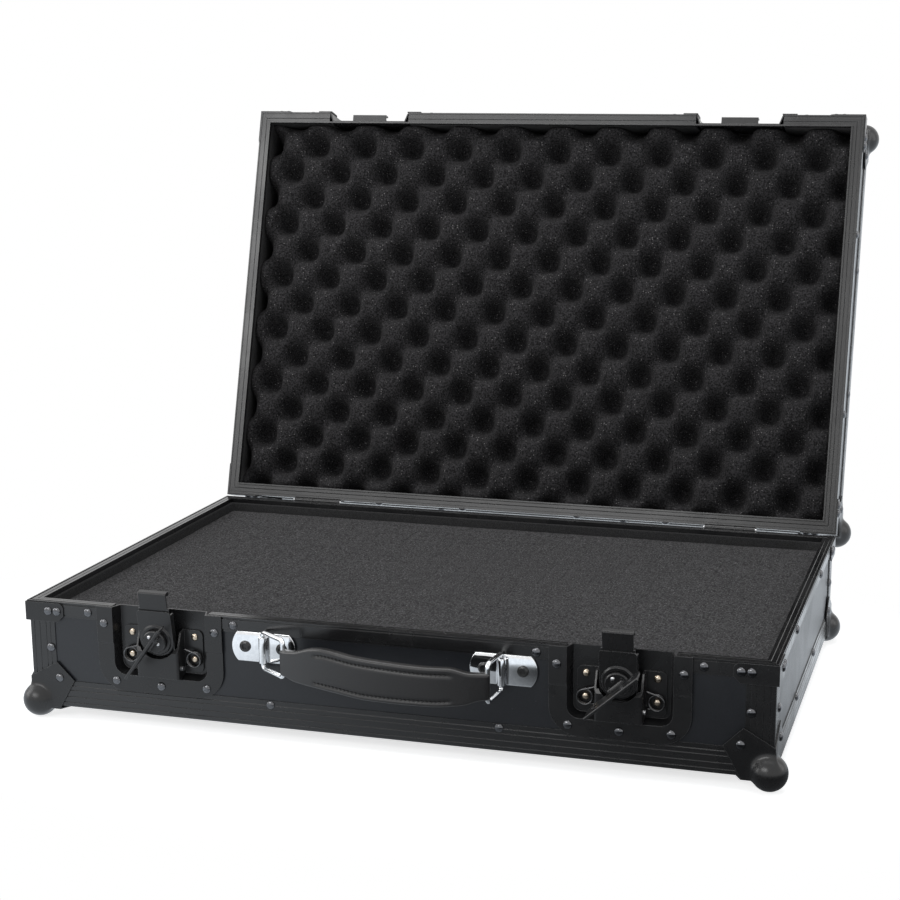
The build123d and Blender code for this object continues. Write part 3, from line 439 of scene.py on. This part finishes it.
def grid_faces(rows, cols, close_rows=False, close_cols=False):
    """Quads over a grid of points, row by row, wrapped round where an edge is closed."""
    row = np.arange(rows if close_rows else rows - 1)[:, None]
    col = np.arange(cols if close_cols else cols - 1)[None, :]
    below, right = (row + 1) % rows, (col + 1) % cols
    corners = [row * cols + col, row * cols + right, below * cols + right, below * cols + col]
    quads = np.stack(corners, -1)
    return quads.reshape(-1, 4).tolist()


def joined(parts):
    """Many (points, faces) pairs as one."""
    points, faces, start = [], [], 0
    for part_points, part_faces in parts:
        flat = np.asarray(part_points).reshape(-1, 3)
        points.append(flat)
        faces += [[start + corner for corner in face] for face in part_faces]
        start += len(flat)
    return np.concatenate(points), faces


def lid_turn(vectors):
    """Directions of the tray's kind as they are in the opened lid."""
    angle = math.radians(-LID_ANGLE)
    x, y, z = vectors[..., 0], vectors[..., 1], -vectors[..., 2]
    turned_y = y * math.cos(angle) - z * math.sin(angle)
    return np.stack([x, turned_y, y * math.sin(angle) + z * math.cos(angle)], -1)


def to_lid(points):
    """Turns points of the tray's kind over into the lid and opens it about the hinge."""
    hinge = np.array([0, HINGE_Y, HINGE_Z])
    turned_over = points - [0, HINGE_Y, TRAY_RIM + CLOSING_GAP + LID_RIM - HINGE_Z]
    return lid_turn(turned_over) + hinge


def capped(rows, cols):
    """Faces of a tube of rings of points, with a flat face at both ends."""
    last = (rows - 1) * cols
    ends = [list(range(cols - 1, -1, -1)), [last + number for number in range(cols)]]
    return grid_faces(rows, cols, close_cols=True) + ends


def block_with_top(xs, ys, levels, base):
    """Points and faces of a block whose top is a grid of levels; its sides drop to a flat base."""
    edge_x = np.concatenate([[xs[0]], xs, [xs[-1]]])
    edge_y = np.concatenate([[ys[0]], ys, [ys[-1]]])
    padded = np.pad(levels, 1, constant_values=base)
    points = np.stack([*np.meshgrid(edge_x, edge_y), padded], -1)
    rows, cols = padded.shape
    ring = list(range(cols)) + [row * cols + cols - 1 for row in range(1, rows)]
    ring += [(rows - 1) * cols + col for col in range(cols - 2, -1, -1)]
    ring += [row * cols for row in range(rows - 2, 0, -1)]
    return points, grid_faces(rows, cols) + [ring[::-1]]


# Foam

def egg_crate():
    """Egg-crate foam: two crossed cosines multiplied, cos(2 pi x / 52.7) cos(2 pi y / 56.4), turned
    by a degree. Peaks are broad and pits narrow: level = top - depth * ((1 - wave) / 2) ** 2.1."""
    wave_x, wave_y, depth = 0.0527, 0.0564, 0.030
    pit_x, pit_y = 0.0604, 0.0027
    xs = np.linspace(-FOAM_HALF_X, FOAM_HALF_X, 265)
    ys = np.linspace(-FOAM_HALF_Y, FOAM_HALF_Y, 169)
    x, y = np.meshgrid(xs, ys)
    turn = math.radians(1.0)
    along = (x - pit_x) * math.cos(turn) + (y - pit_y) * math.sin(turn)
    across = -(x - pit_x) * math.sin(turn) + (y - pit_y) * math.cos(turn)
    wave = -np.cos(2 * np.pi * along / wave_x) * np.cos(2 * np.pi * across / wave_y)
    steep = wave * (1.15 - 0.15 * wave ** 2)
    share = ((1 - steep) / 2) ** 2.1
    levels = LID_RIM - 0.005 - depth * share
    border = np.minimum(FOAM_HALF_X - np.abs(x), FOAM_HALF_Y - np.abs(y))
    levels -= 0.0025 * np.exp(-border / 0.0018)
    points, faces = block_with_top(xs, ys, levels, FOAM_BASE)
    faces = [face[::-1] for face in faces]
    egg = surface("egg_crate_top", to_lid(points), faces, "lid", EGG_FOAM)
    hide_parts("egg_crate_foam")


def pick_foam():
    """Pick foam: small blocks 16.45 mm apart, each a touch higher or lower, with hair-thin cuts
    between them."""
    pitch, edge_drop = 0.01645, -0.0009
    rng = np.random.default_rng(7)

    def lines(half):
        count = int(round(2 * half / pitch))
        step = 2 * half / count
        offsets = np.array([0, 0.0003, 0.0011, step / 2, step - 0.0011, step - 0.0003])
        return np.append((-half + step * np.arange(count)[:, None] + offsets).ravel(), half), count

    xs, count_x = lines(FOAM_HALF_X)
    ys, count_y = lines(FOAM_HALF_Y)
    profile = np.array([-0.00034, -0.00016, 0, 0, 0, -0.00016])
    drop_x = np.append(np.tile(profile, count_x), edge_drop)
    drop_y = np.append(np.tile(profile, count_y), edge_drop)
    drop_x[0] = drop_y[0] = edge_drop
    cell = rng.normal(0, 0.00010, (count_y + 1, count_x + 1))
    size = len(profile)
    height = cell[np.arange(len(ys)) // size][:, np.arange(len(xs)) // size]
    x, y = np.meshgrid(xs, ys)
    sway = 0.0004 * np.sin(9 * x + 1.3) * np.cos(13 * y - 0.4)
    cuts = np.minimum(drop_y[:, None], drop_x[None, :])
    levels = TRAY_RIM - PICK_FOAM_DROP + cuts + np.clip(height, -0.0003, 0.0003) + sway
    points, faces = block_with_top(xs, ys, levels, FOAM_BASE)
    foam = surface("pick_foam_top", points, faces, "tray", FOAM)
    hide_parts("pick_foam_block")


def wall_lining(name, body, node, rim, notch, turned_over):
    """Lining foam carried round the walls. Its section is a strip 2.3 mm thick with a rounded top,
    and the strip is cut down to a notch behind each latch."""
    outer_x, outer_y, thickness = HALF_LENGTH - LINING_GAP, HALF_DEPTH - LINING_GAP, 0.0023
    top, foot = rim - 0.0043, 0.0065
    half, hair = 0.0439, 1e-5
    stops = [-outer_x]
    for side in (-LATCH_X, LATCH_X):
        stops += [side - half - hair, side - half, side + half, side + half + hair]
    stops += [outer_x]
    low = np.array([0, 0, 1, 1, 0, 0, 1, 1, 0, 0], bool)
    front = np.stack([np.array(stops), np.full(len(stops), -outer_y)], -1)
    side_x, side_y = np.linspace(-1, 1, 24) * outer_x, np.linspace(-1, 1, 18) * outer_y
    right = np.stack([np.full(16, outer_x), side_y[1:-1]], -1)
    back = np.stack([side_x[::-1], np.full(24, outer_y)], -1)
    left = np.stack([np.full(16, -outer_x), side_y[-2:0:-1]], -1)
    plan = np.concatenate([front, right, back, left])
    tops = np.full(len(plan), top)
    tops[:len(stops)][low] = rim - notch
    inward = np.where(np.abs(np.abs(plan) - [outer_x, outer_y]) < 1e-6, -np.sign(plan), 0.0)
    bend = np.linspace(0, np.pi, 7)
    share = np.concatenate([[0], (1 - np.cos(bend)) / 2, [1]])
    rise = 0.5 * thickness * np.concatenate([[0], np.sin(bend), [0]])
    level = tops[:, None] - 0.5 * thickness + rise[None, :]
    level[:, 0] = level[:, -1] = foot
    flat = plan[:, None, :] + inward[:, None, :] * (thickness * share)[None, :, None]
    points = np.concatenate([flat, level[..., None]], -1)
    faces = grid_faces(len(plan), len(share), close_rows=True, close_cols=True)
    points = to_lid(points) if turned_over else points
    lining = surface(name, points, faces, body, LINING, merge=1e-7)
    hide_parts(node)


# Fasteners

def case_tree(names):
    """What a fastener can sit on: the faces of the named solids."""
    corners, faces = [], []
    for name in names:
        mesh = nodes[name].data
        start = len(corners)
        corners += [vertex.co.copy() for vertex in mesh.vertices]
        faces += [[start + corner for corner in face.vertices] for face in mesh.polygons]
    return BVHTree.FromPolygons(corners, faces)


def domes(places, outward, tree, radius, height):
    """Rivet heads, seated by a ray cast on the solids: radius * sin(t) out from the axis and
    height * cos(t) up, with a short straight skirt; the axis is the way that the face looks."""
    around, rings, skirt, lift = 14, 5, -0.0006, 0.0002
    turn = np.linspace(0, 2 * np.pi, around, endpoint=False)
    tilt = np.linspace(np.pi / 2, 0, rings + 1)[:-1]
    out = np.concatenate([[radius], radius * np.sin(tilt)])
    up = np.concatenate([[skirt], lift + height * np.cos(tilt)])
    parts = []
    for place, axis in zip(places, outward):
        hit = tree.ray_cast(Vector(place) + 0.03 * Vector(axis), -Vector(axis), 0.06)
        if hit[0] is None:
            continue
        axis = np.array(axis, float)
        first = np.cross(axis, [0.3, 0.5, 0.81])
        first /= np.linalg.norm(first)
        second = np.cross(axis, first)
        around_axis = np.cos(turn)[:, None] * first + np.sin(turn)[:, None] * second
        points = np.array(hit[0]) + out[:, None, None] * around_axis + up[:, None, None] * axis
        crown = (np.array(hit[0]) + (lift + height) * axis)[None, :]
        flat = np.concatenate([points.reshape(-1, 3), crown])
        last = rings * around
        faces = grid_faces(rings + 1, around, close_cols=True)
        faces += [[last + number, last + (number + 1) % around, last + around]
                  for number in range(around)]
        parts.append((flat, faces))
    return joined(parts)


def wall_places(rim, dish_rows):
    """Where the rivets of one half are, in mm in the tray's kind of place, and the way each looks."""
    length, depth, rim = HALF_LENGTH / MM, HALF_DEPTH / MM, rim / MM
    bracket_ends, bracket_drop = (19, 27), 8.1
    trim_in, plate_in, plate_up, foot_up = 18.8, 26, 24.6, 18.3
    rim_drop, below = 7.0, -1.2
    upright = (rim + 12) / 2 - 1.0

    def wall(reach, middle):
        """Distances along and up one end of a wall: bracket, corner trim, ball plate, foot trim."""
        ends = [(reach - end, rim - bracket_drop) for end in bracket_ends]
        return ends + [(reach - trim_in, upright), (reach - plate_in, plate_up), (middle, foot_up)]

    places = []
    for side in (-1, 1):
        for face in (-1, 1):
            places += [((side * x, face * depth, z), (0, face, 0)) for x, z in wall(length, 97.5)]
            across = wall(depth, 62.0) + [(88.0, rim - rim_drop)]
            places += [((side * length, face * y, z), (side, 0, 0)) for y, z in across]
            under = [(length - plate_in, depth - plate_in), (105, depth - trim_in),
                     (length - trim_in, 65)]
            places += [((side * x, face * y, below), (0, 0, -1)) for x, y in under]
        places += [((side * x, -depth, rim - rim_drop), (0, -1, 0)) for x in (128.0, 259.5)]
        places += [((side * x, depth, rim - rim_drop), (0, 1, 0)) for x in (60.0, 150.0)]
        latch = side * LATCH_X / MM
        places += [((latch + u, -depth, rim + v), (0, -1, 0)) for u, v in dish_rows]
    return places


# Rivets of a latch's dish: along from its middle, and up from the rim, in mm
TRAY_DISH = ((-50, -14.5), (50, -14.5), (-41, -64.0), (41, -64.0), (0, -65.6))
LID_DISH = ((-50, -14.5), (50, -14.5), (-36, -40.2), (36, -40.2), (0, -40.6))


def rivets():
    """The domed rivets of tray and lid."""
    for prefix, rim, rows in (("tray", TRAY_RIM, TRAY_DISH), ("lid", LID_RIM, LID_DISH)):
        names = [name for name in nodes
                 if name.startswith(prefix + "_") and not name.endswith("wall_lining")]
        dish = "latch_dish_" if prefix == "tray" else "keeper_dish_"
        names += [dish + side for side in ("left", "right")]
        places, axes = zip(*wall_places(rim, rows))
        places, axes = np.array(places) * MM, np.array(axes, float)
        if prefix == "lid":
            places, axes = to_lid(places), lid_turn(axes)
        points, faces = domes(places, axes, case_tree(names), RIVET_RADIUS, RIVET_HEIGHT)
        surface(prefix + "_rivets", points, faces, prefix, RIVET, merge=1e-7)


# How far the latch's ears are from its middle, and its pivot from the rim, in mm
EAR_X = 28.4
PIVOT_DROP = 22.5


def tube(path, radius, around=10):
    """A round wire along a path: rings of points square to the path, with closed ends."""
    path = np.asarray(path, float)
    ahead = np.gradient(path, axis=0)
    ahead /= np.linalg.norm(ahead, axis=1)[:, None]
    side = np.cross(ahead, [0.13, 0.91, 0.39])
    side /= np.linalg.norm(side, axis=1)[:, None]
    up = np.cross(side, ahead)
    turn = np.linspace(0, 2 * np.pi, around, endpoint=False)[None, :, None]
    square = np.cos(turn) * side[:, None, :] + np.sin(turn) * up[:, None, :]
    return path[:, None, :] + radius * square, capped(len(path), around)


def latch_springs(side_name, place):
    """Torsion springs: two and a half turns of a helix round each post, with a straight leg at
    each end. The path is in mm: along from the latch's middle, up from the rim, out of the wall."""
    mean, wall, post, level = 6.2, 19.9, EAR_X, -41.0
    deep, shallow, count = -5.4, -1.75, 110
    leave = math.radians(73.4)
    turn = np.linspace(-np.pi / 2, leave + 4 * np.pi, count)
    rise = np.linspace(deep, shallow, count)
    helix = np.stack([post + mean * np.cos(turn), level + mean * np.sin(turn), rise], -1)
    foot = np.linspace([wall, level - mean, deep], helix[0], 6, endpoint=False)
    head = np.linspace(helix[-1], [wall, -32.0, shallow], 8)[1:]
    path = np.concatenate([foot, helix, head])
    parts = []
    for mirror in (1, -1):
        x = place + mirror * path[:, 0] * MM
        run = np.stack([x, -HALF_DEPTH - path[:, 2] * MM, TRAY_RIM + path[:, 1] * MM], -1)
        parts.append(tube(run, 0.00078))
    points, faces = joined(parts)
    springs = surface(
        "latch_spring_wire_" + side_name, points, faces, "tray", SPRING, merge=1e-8)
    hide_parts("latch_springs_" + side_name)


def lathe(profile, centre, axis, around=32, closed=False):
    """A profile of (out, up) pairs, in mm, turned about an axis through a centre; closed where the
    profile is a loop."""
    axis = np.array(axis, float)
    first = np.cross(axis, [0.3, 0.5, 0.81])
    first /= np.linalg.norm(first)
    second = np.cross(axis, first)
    turn = np.linspace(0, 2 * np.pi, around, endpoint=False)
    out, up = np.array(profile, float).T
    ring = np.cos(turn)[:, None] * first + np.sin(turn)[:, None] * second
    points = np.array(centre) + (out[:, None, None] * ring + up[:, None, None] * axis) * MM
    return points, grid_faces(len(out), around, close_rows=closed, close_cols=True)


def dome_profile(radius, height, skirt):
    """A rivet head's section, in mm: a skirt that goes into the sheet, then a quarter ellipse up to
    the pole."""
    tilt = np.linspace(np.pi / 2, 0, 8)
    dome = [(radius * math.sin(t) + 1e-4, height * math.cos(t)) for t in tilt]
    return [(radius, skirt)] + dome


def latch_rivets(side_name, place):
    """Brassed rivet heads on the ears: the upper ones stand on the ear, and the lower ones sit low
    inside the springs."""
    parts = []
    for mirror in (-1, 1):
        x = (place / MM + mirror * EAR_X) * MM
        for drop, level, skirt in ((PIVOT_DROP, -6.3, -0.4), (41.0, -5.0, -1.2)):
            centre = (x, -HALF_DEPTH - level * MM, TRAY_RIM - drop * MM)
            parts.append(lathe(dome_profile(3.15, 1.9, skirt), centre, (0, -1, 0)))
    points, faces = joined(parts)
    heads = surface(
        "latch_rivet_heads_" + side_name, points, faces, "tray", BRASS, merge=1e-6)
    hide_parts("latch_frame_rivets_" + side_name)


def cam_pins(side_name, place, line):
    """Two bright rivet heads on the disc, either side of the wing, seated by a ray cast on it."""
    tree = case_tree(["latch_cam_" + side_name])
    apart, angle = 4.5, math.radians(line - 90)
    parts = []
    for side in (-1, 1):
        x = place + side * apart * math.cos(angle) * MM
        z = TRAY_RIM - PIVOT_DROP * MM + side * apart * math.sin(angle) * MM
        hit = tree.ray_cast(Vector((x, -HALF_DEPTH - 0.05, z)), Vector((0, 1, 0)), 0.1)
        parts.append(lathe(dome_profile(1.75, 0.9, -0.9), hit[0], (0, -1, 0), around=20))
    points, faces = joined(parts)
    surface("latch_cam_pins_" + side_name, points, faces, "latch_cam_" + side_name,
            STEEL, merge=1e-6)


def handle_plates(side_name, side):
    """Chromed plate: its ends are arcs of 18 mm radius, its rim is rounded, and a barrel for the
    ring stands on it, with a fillet of a quarter circle on both sides. All in mm."""
    plate_x, barrel_x, plate_drop, barrel_drop = side * 101.5, side * 100.7, 23.6, 24.75
    level, thick, barrel_out, barrel_radius, fillet = TRAY_RIM / MM - plate_drop, 1.6, 4.2, 3.6, 2.0
    half_width, half_height, arc = 27.75, 12.6, 18.0
    rise = np.linspace(-half_height, half_height, 17)
    end = half_width - (arc - np.sqrt(arc ** 2 - rise ** 2))
    outline = np.concatenate([np.stack([end, rise], -1), np.stack([-end[::-1], rise[::-1]], -1)])
    inward = outline / np.array([half_width, half_height])
    rows = [(0.0, 0.0), (0.0, 1.1), (0.15, 1.4), (0.45, thick)]
    points = np.stack([
        np.concatenate([outline - inset * inward, np.full((len(outline), 1), out)], -1)
        for inset, out in rows])

    def to_wall(points, x):
        """From the plate's plane to the wall, in metres: along, up and out."""
        out = -HALF_DEPTH / MM - points[..., 2]
        return np.stack([x + points[..., 0], out, level + points[..., 1]], -1) * MM

    parts = [(to_wall(points, plate_x), capped(len(rows), len(outline)))]
    half = [(2.1, 10.8), (3.15, 10.8), (3.5, 10.65), (barrel_radius, 10.3)]
    rings = [(out, -up) for out, up in half] + half[::-1]
    middle = (barrel_x * MM, -HALF_DEPTH - barrel_out * MM, TRAY_RIM - barrel_drop * MM)
    parts.append(lathe(rings, middle, (0, 0, 1), closed=True))
    bend = np.linspace(0, np.pi / 2, 7)
    flank_x = fillet * np.sin(bend) - barrel_radius - fillet
    flank = np.stack([flank_x, thick - 0.1 + fillet * (1 - np.cos(bend))], -1)
    top = [[-barrel_radius, barrel_out], [barrel_radius, barrel_out]]
    section = np.concatenate([flank, top, flank[::-1] * [-1, 1]])
    ends = np.array([-10.7, 10.7]) - (barrel_drop - plate_drop)
    web = np.stack([
        np.stack([section[:, 0], np.full(len(section), end), section[:, 1]], -1) for end in ends])
    parts.append((to_wall(web, barrel_x), capped(2, len(section))))
    points, faces = joined(parts)
    plate = surface(
        "handle_plate_sheet_" + side_name, points, faces, "tray", CHROME, merge=1e-8)
    sharp_by_angle(plate)
    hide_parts("handle_plate_" + side_name)


def sharp_by_angle(obj):
    """Marks edges sharper than 0.6 radians, so that flat faces stay flat in the shading."""
    limit = 0.6
    work = bmesh.new()
    work.from_mesh(obj.data)
    for edge in work.edges:
        edge.smooth = len(edge.link_faces) != 2 or edge.calc_face_angle() < limit
    work.to_mesh(obj.data)
    work.free()


# Ball corners

def ball_necks(name, body, turned_over):
    """Pressed ball with a drawn neck. Seen from the ball's centre along a direction d, the ball is
    at 14.6 mm and the plates at 5.02 / max(-dx, -dy, -dz); the surface is the smooth maximum of
    both, so the neck flares into the plates. It ends on the plates, 21.5 mm from the centre."""
    ball, plate, blend, end, sharpness = 14.6, 5.02, 7.0, 21.5, 40
    centre_x, centre_y, centre_z = 311.2, 199.2, 2.6
    out_axis = -np.ones(3) / math.sqrt(3)
    first = np.array([1, -1, 0]) / math.sqrt(2)
    second = np.cross(out_axis, first)
    turn = np.linspace(0, 2 * np.pi, 96, endpoint=False)
    tilts = np.linspace(0.0, 1.0, 76)
    around = np.cos(turn)[:, None] * first + np.sin(turn)[:, None] * second

    def plates(directions):
        facing = np.clip(-directions, 0, None)
        return plate / (facing ** sharpness).sum(-1) ** (1 / sharpness)

    trial = np.linspace(0.5, 2.9, 600)
    look = np.cos(trial)[:, None, None] * out_axis + np.sin(trial)[:, None, None] * around
    limit = trial[np.argmax(plates(look) > end, axis=0)]
    tilt = tilts[:, None] * limit[None, :]
    look = np.cos(tilt)[..., None] * out_axis + np.sin(tilt)[..., None] * around
    flat = plates(look)
    gap = np.abs(flat - ball)
    reach = np.maximum(flat, ball) + np.clip(blend - gap, 0, None) ** 2 / (4 * blend)
    points = look * reach[..., None]
    faces = grid_faces(len(tilts), len(turn), close_cols=True)
    parts = []
    for x_side in (-1, 1):
        for y_side in (-1, 1):
            centre = [x_side * centre_x, y_side * centre_y, centre_z]
            place = (points * [-x_side, -y_side, 1] + centre) * MM
            flipped = [face[::-1] for face in faces] if x_side * y_side > 0 else faces
            parts.append((to_lid(place) if turned_over else place, flipped))
    points, faces = joined(parts)
    surface(name, points, faces, body, POWDER, merge=1e-7)


# Grip: lengths in mm; the plan is an arc that turns about its middle

GRIP_HALF = 87.3
GRIP_BOW = 16.5
GRIP_RADIUS = (GRIP_HALF ** 2 + GRIP_BOW ** 2) / (2 * GRIP_BOW)
GRIP_MIDDLE = (10.944, -230.743)
GRIP_TURN = math.radians(-4.162)
SEAM_START, SEAM_END = -56.0, 64.0
UPPER_SEAM, LOWER_SEAM = 5.4, 4.4
# Heights of the grip's foot and top at places along it, in mm, before they are smoothed
FOOT_PLACES = (
    (-95, 53.5), (-84, 53.4), (-76, 51.0), (-50, 50.4), (-32, 49.6), (-10, 47.6), (50, 47.2),
    (72, 49.2), (82, 53.2), (95, 53.5))
TOP_PLACES = (
    (-95, 74.6), (-84, 74.8), (-72, 77.0), (-60, 81.6), (-48, 83.6), (-36, 83.2), (-20, 81.4),
    (10, 80.2), (40, 78.9), (62, 79.0), (74, 75.2), (95, 74.8))


def grip_levels(along):
    """Foot and top of the grip at a distance along it, in mm: straight runs between places,
    averaged over 8 mm."""
    shifts = np.linspace(-4, 4, 9)
    found = []
    for places in (FOOT_PLACES, TOP_PLACES):
        at, height = np.array(places, float).T
        found.append(np.mean([np.interp(along + shift, at, height) for shift in shifts], axis=0))
    return found


def grip_spine(along):
    """Plan place and outward direction on the bow: an arc through both bars."""
    angle = along / GRIP_RADIUS
    out = np.stack([np.sin(angle), -np.cos(angle)], -1)
    return GRIP_RADIUS * out + [0, GRIP_RADIUS - GRIP_BOW], out


def grip_place(plan, level):
    """From the grip's own plan to the case, in metres."""
    x = GRIP_MIDDLE[0] + plan[..., 0] * math.cos(GRIP_TURN) - plan[..., 1] * math.sin(GRIP_TURN)
    y = GRIP_MIDDLE[1] + plan[..., 0] * math.sin(GRIP_TURN) + plan[..., 1] * math.cos(GRIP_TURN)
    return np.stack([x, y, level], -1) * MM


def per_vertex(mesh, kind):
    """A value of each vertex as an array: co for its place or normal for its normal."""
    found = np.zeros(len(mesh.vertices) * 3)
    mesh.vertices.foreach_get(kind, found)
    return found.reshape(-1, 3)


def grip_run(places):
    """Distance along the bow, height above the grip's foot and depth below its top, in mm."""
    x, y, z = places.T / MM
    x, y = x - GRIP_MIDDLE[0], y - GRIP_MIDDLE[1]
    local_x = x * math.cos(-GRIP_TURN) - y * math.sin(-GRIP_TURN)
    run = GRIP_RADIUS * np.arcsin(np.clip(local_x / GRIP_RADIUS, -1, 1))
    foot, top = grip_levels(run)
    return run, z - foot, top - z


def swollen(obj, held, pressure, cap):
    """Lets the cover swell as cloth under pressure, held at its seams, and keeps each point within
    a cap of its start."""
    frames = 20
    scene = bpy.context.scene
    before = per_vertex(obj.data, "co")
    group = obj.vertex_groups.new(name="held")
    group.add([int(number) for number in np.flatnonzero(held)], 1.0, "REPLACE")
    cloth = obj.modifiers.new("cloth", "CLOTH")
    settings = cloth.settings
    settings.quality = 6
    settings.mass = 0.2
    settings.tension_stiffness = settings.compression_stiffness = 25
    settings.bending_stiffness = 4
    settings.use_pressure = True
    settings.uniform_pressure_force = pressure
    settings.vertex_group_mass = "held"
    settings.effector_weights.gravity = 0
    for number in range(1, frames + 1):
        scene.frame_set(number)
    evaluated = obj.evaluated_get(bpy.context.evaluated_depsgraph_get())
    after = per_vertex(evaluated.to_mesh(), "co")
    evaluated.to_mesh_clear()
    obj.modifiers.remove(cloth)
    obj.vertex_groups.remove(group)
    move = after - before
    size = np.linalg.norm(move, axis=1)[:, None]
    move *= np.minimum(1, cap / np.maximum(size, 1e-9))
    obj.data.vertices.foreach_set("co", (before + move).ravel())
    obj.data.update()
    scene.frame_set(1)


def handle_grip():
    """Leather grip: the rounded section (a box with 2.2 mm corners) is carried round the plan
    outline of a bowed slot, so its ends wrap the ring bars. The cover then swells as cloth between
    two sewn channels, which hold it down."""
    thick, corner = 4.1, 2.2
    body_run = np.linspace(-GRIP_HALF, GRIP_HALF, 120)
    spine, out = grip_spine(body_run)
    nose = np.linspace(0, np.pi, 15)[1:-1]
    tips = []
    for end in (-1, 1):
        centre, normal = grip_spine(np.array([end * GRIP_HALF]))
        ahead = np.array([-normal[0, 1], normal[0, 0]]) * end
        sweep = np.cos(nose)[:, None] * normal[0] * end + np.sin(nose)[:, None] * ahead
        tips.append((np.repeat(centre, len(nose), 0), sweep, np.full(len(nose), end * GRIP_HALF)))
    centres = np.concatenate([spine, tips[1][0], spine[::-1], tips[0][0]])
    offsets = np.concatenate([out, tips[1][1], -out[::-1], tips[0][1]])
    along = np.concatenate([body_run, tips[1][2], body_run[::-1], tips[0][2]])
    foot, top = grip_levels(along)
    bend = np.linspace(0, np.pi / 2, 5)
    inset = thick - corner
    share = np.concatenate([[0, 0.5 * inset], inset + corner * np.sin(bend)]) / thick
    lift = np.concatenate([[0, 0], corner * (1 - np.cos(bend))])
    side = np.linspace(0, 1, 24)[1:-1]
    keep = np.concatenate([share, np.ones(len(side)), share[::-1]])
    level = np.concatenate([
        foot[None, :] + lift[:, None],
        (foot + corner)[None, :] + side[:, None] * (top - foot - 2 * corner)[None, :],
        top[None, :] - lift[::-1, None]])
    plan = centres[None] + keep[:, None, None] * thick * offsets[None]
    points = grip_place(plan, level)
    faces = grid_faces(len(keep), len(along), close_cols=True)
    grip = surface("leather_grip", points, faces, "handle_grip", LEATHER, merge=1e-7)
    run, above, under = grip_run(per_vertex(grip.data, "co"))
    in_seam = (np.abs(under - UPPER_SEAM) < 0.9) | (np.abs(above - LOWER_SEAM) < 0.9)
    channel = (run > SEAM_START) & (run < SEAM_END) & in_seam
    held = channel | (np.abs(run) > GRIP_HALF - 9) | (under < 1.2) | (above < 1.2)
    swollen(grip, held, pressure=4.0, cap=0.0016)
    press_channels(grip)
    grip.modifiers.new("fine", "SUBSURF").levels = 1
    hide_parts("handle_grip")


def press_channels(grip):
    """Presses the two sewn channels in: depth * exp(-(distance / width) ** 2), faded out at both
    ends of the seam."""
    depth, width, fade_length = 0.0011, 1.3, 4
    mesh = grip.data
    places, normals = per_vertex(mesh, "co"), per_vertex(mesh, "normal")
    run, above, under = grip_run(places)
    fade = np.clip((run - SEAM_START) / fade_length, 0, 1)
    fade *= np.clip((SEAM_END - run) / fade_length, 0, 1)
    away = np.minimum(np.abs(under - UPPER_SEAM), np.abs(above - LOWER_SEAM))
    press = depth * fade * np.exp(-(away / width) ** 2)
    mesh.vertices.foreach_set("co", (places - press[:, None] * normals).ravel())
    mesh.update()


def grip_stitches():
    """Thread in both channels, front and back: each stitch is a short wire that dips at its ends by
    a half sine."""
    pitch, length = 3.4, 2.3
    starts = np.arange(SEAM_START + 2, SEAM_END - 3, pitch)
    parts = []
    for face in (1, -1):
        for channel in (0, 1):
            for start in starts:
                run = start + np.linspace(0, length, 6)
                centre, out = grip_spine(run)
                foot, top = grip_levels(run)
                level = top - UPPER_SEAM if channel else foot + LOWER_SEAM
                lift = 3.0 + np.sin(np.linspace(0, np.pi, 6))
                plan = centre + face * out * lift[:, None]
                parts.append(tube(grip_place(plan, level), 0.00042, around=6))
    points, faces = joined(parts)
    surface("grip_stitches", points, faces, "handle_grip", THREAD, merge=1e-8)


egg_crate()
pick_foam()
wall_lining("tray_lining_strip", "tray", "tray_wall_lining", TRAY_RIM, 0.0597, False)
wall_lining("lid_lining_strip", "lid", "lid_wall_lining", LID_RIM, 0.0356, True)
rivets()
for side_name, side, wing_line in (("left", -1, 52.75), ("right", 1, 42.75)):
    latch_springs(side_name, side * LATCH_X)
    latch_rivets(side_name, side * LATCH_X)
    cam_pins(side_name, side * LATCH_X, wing_line)
    handle_plates(side_name, side)
ball_necks("tray_ball_necks", "tray", False)
ball_necks("lid_ball_necks", "lid", True)
handle_grip()
grip_stitches()
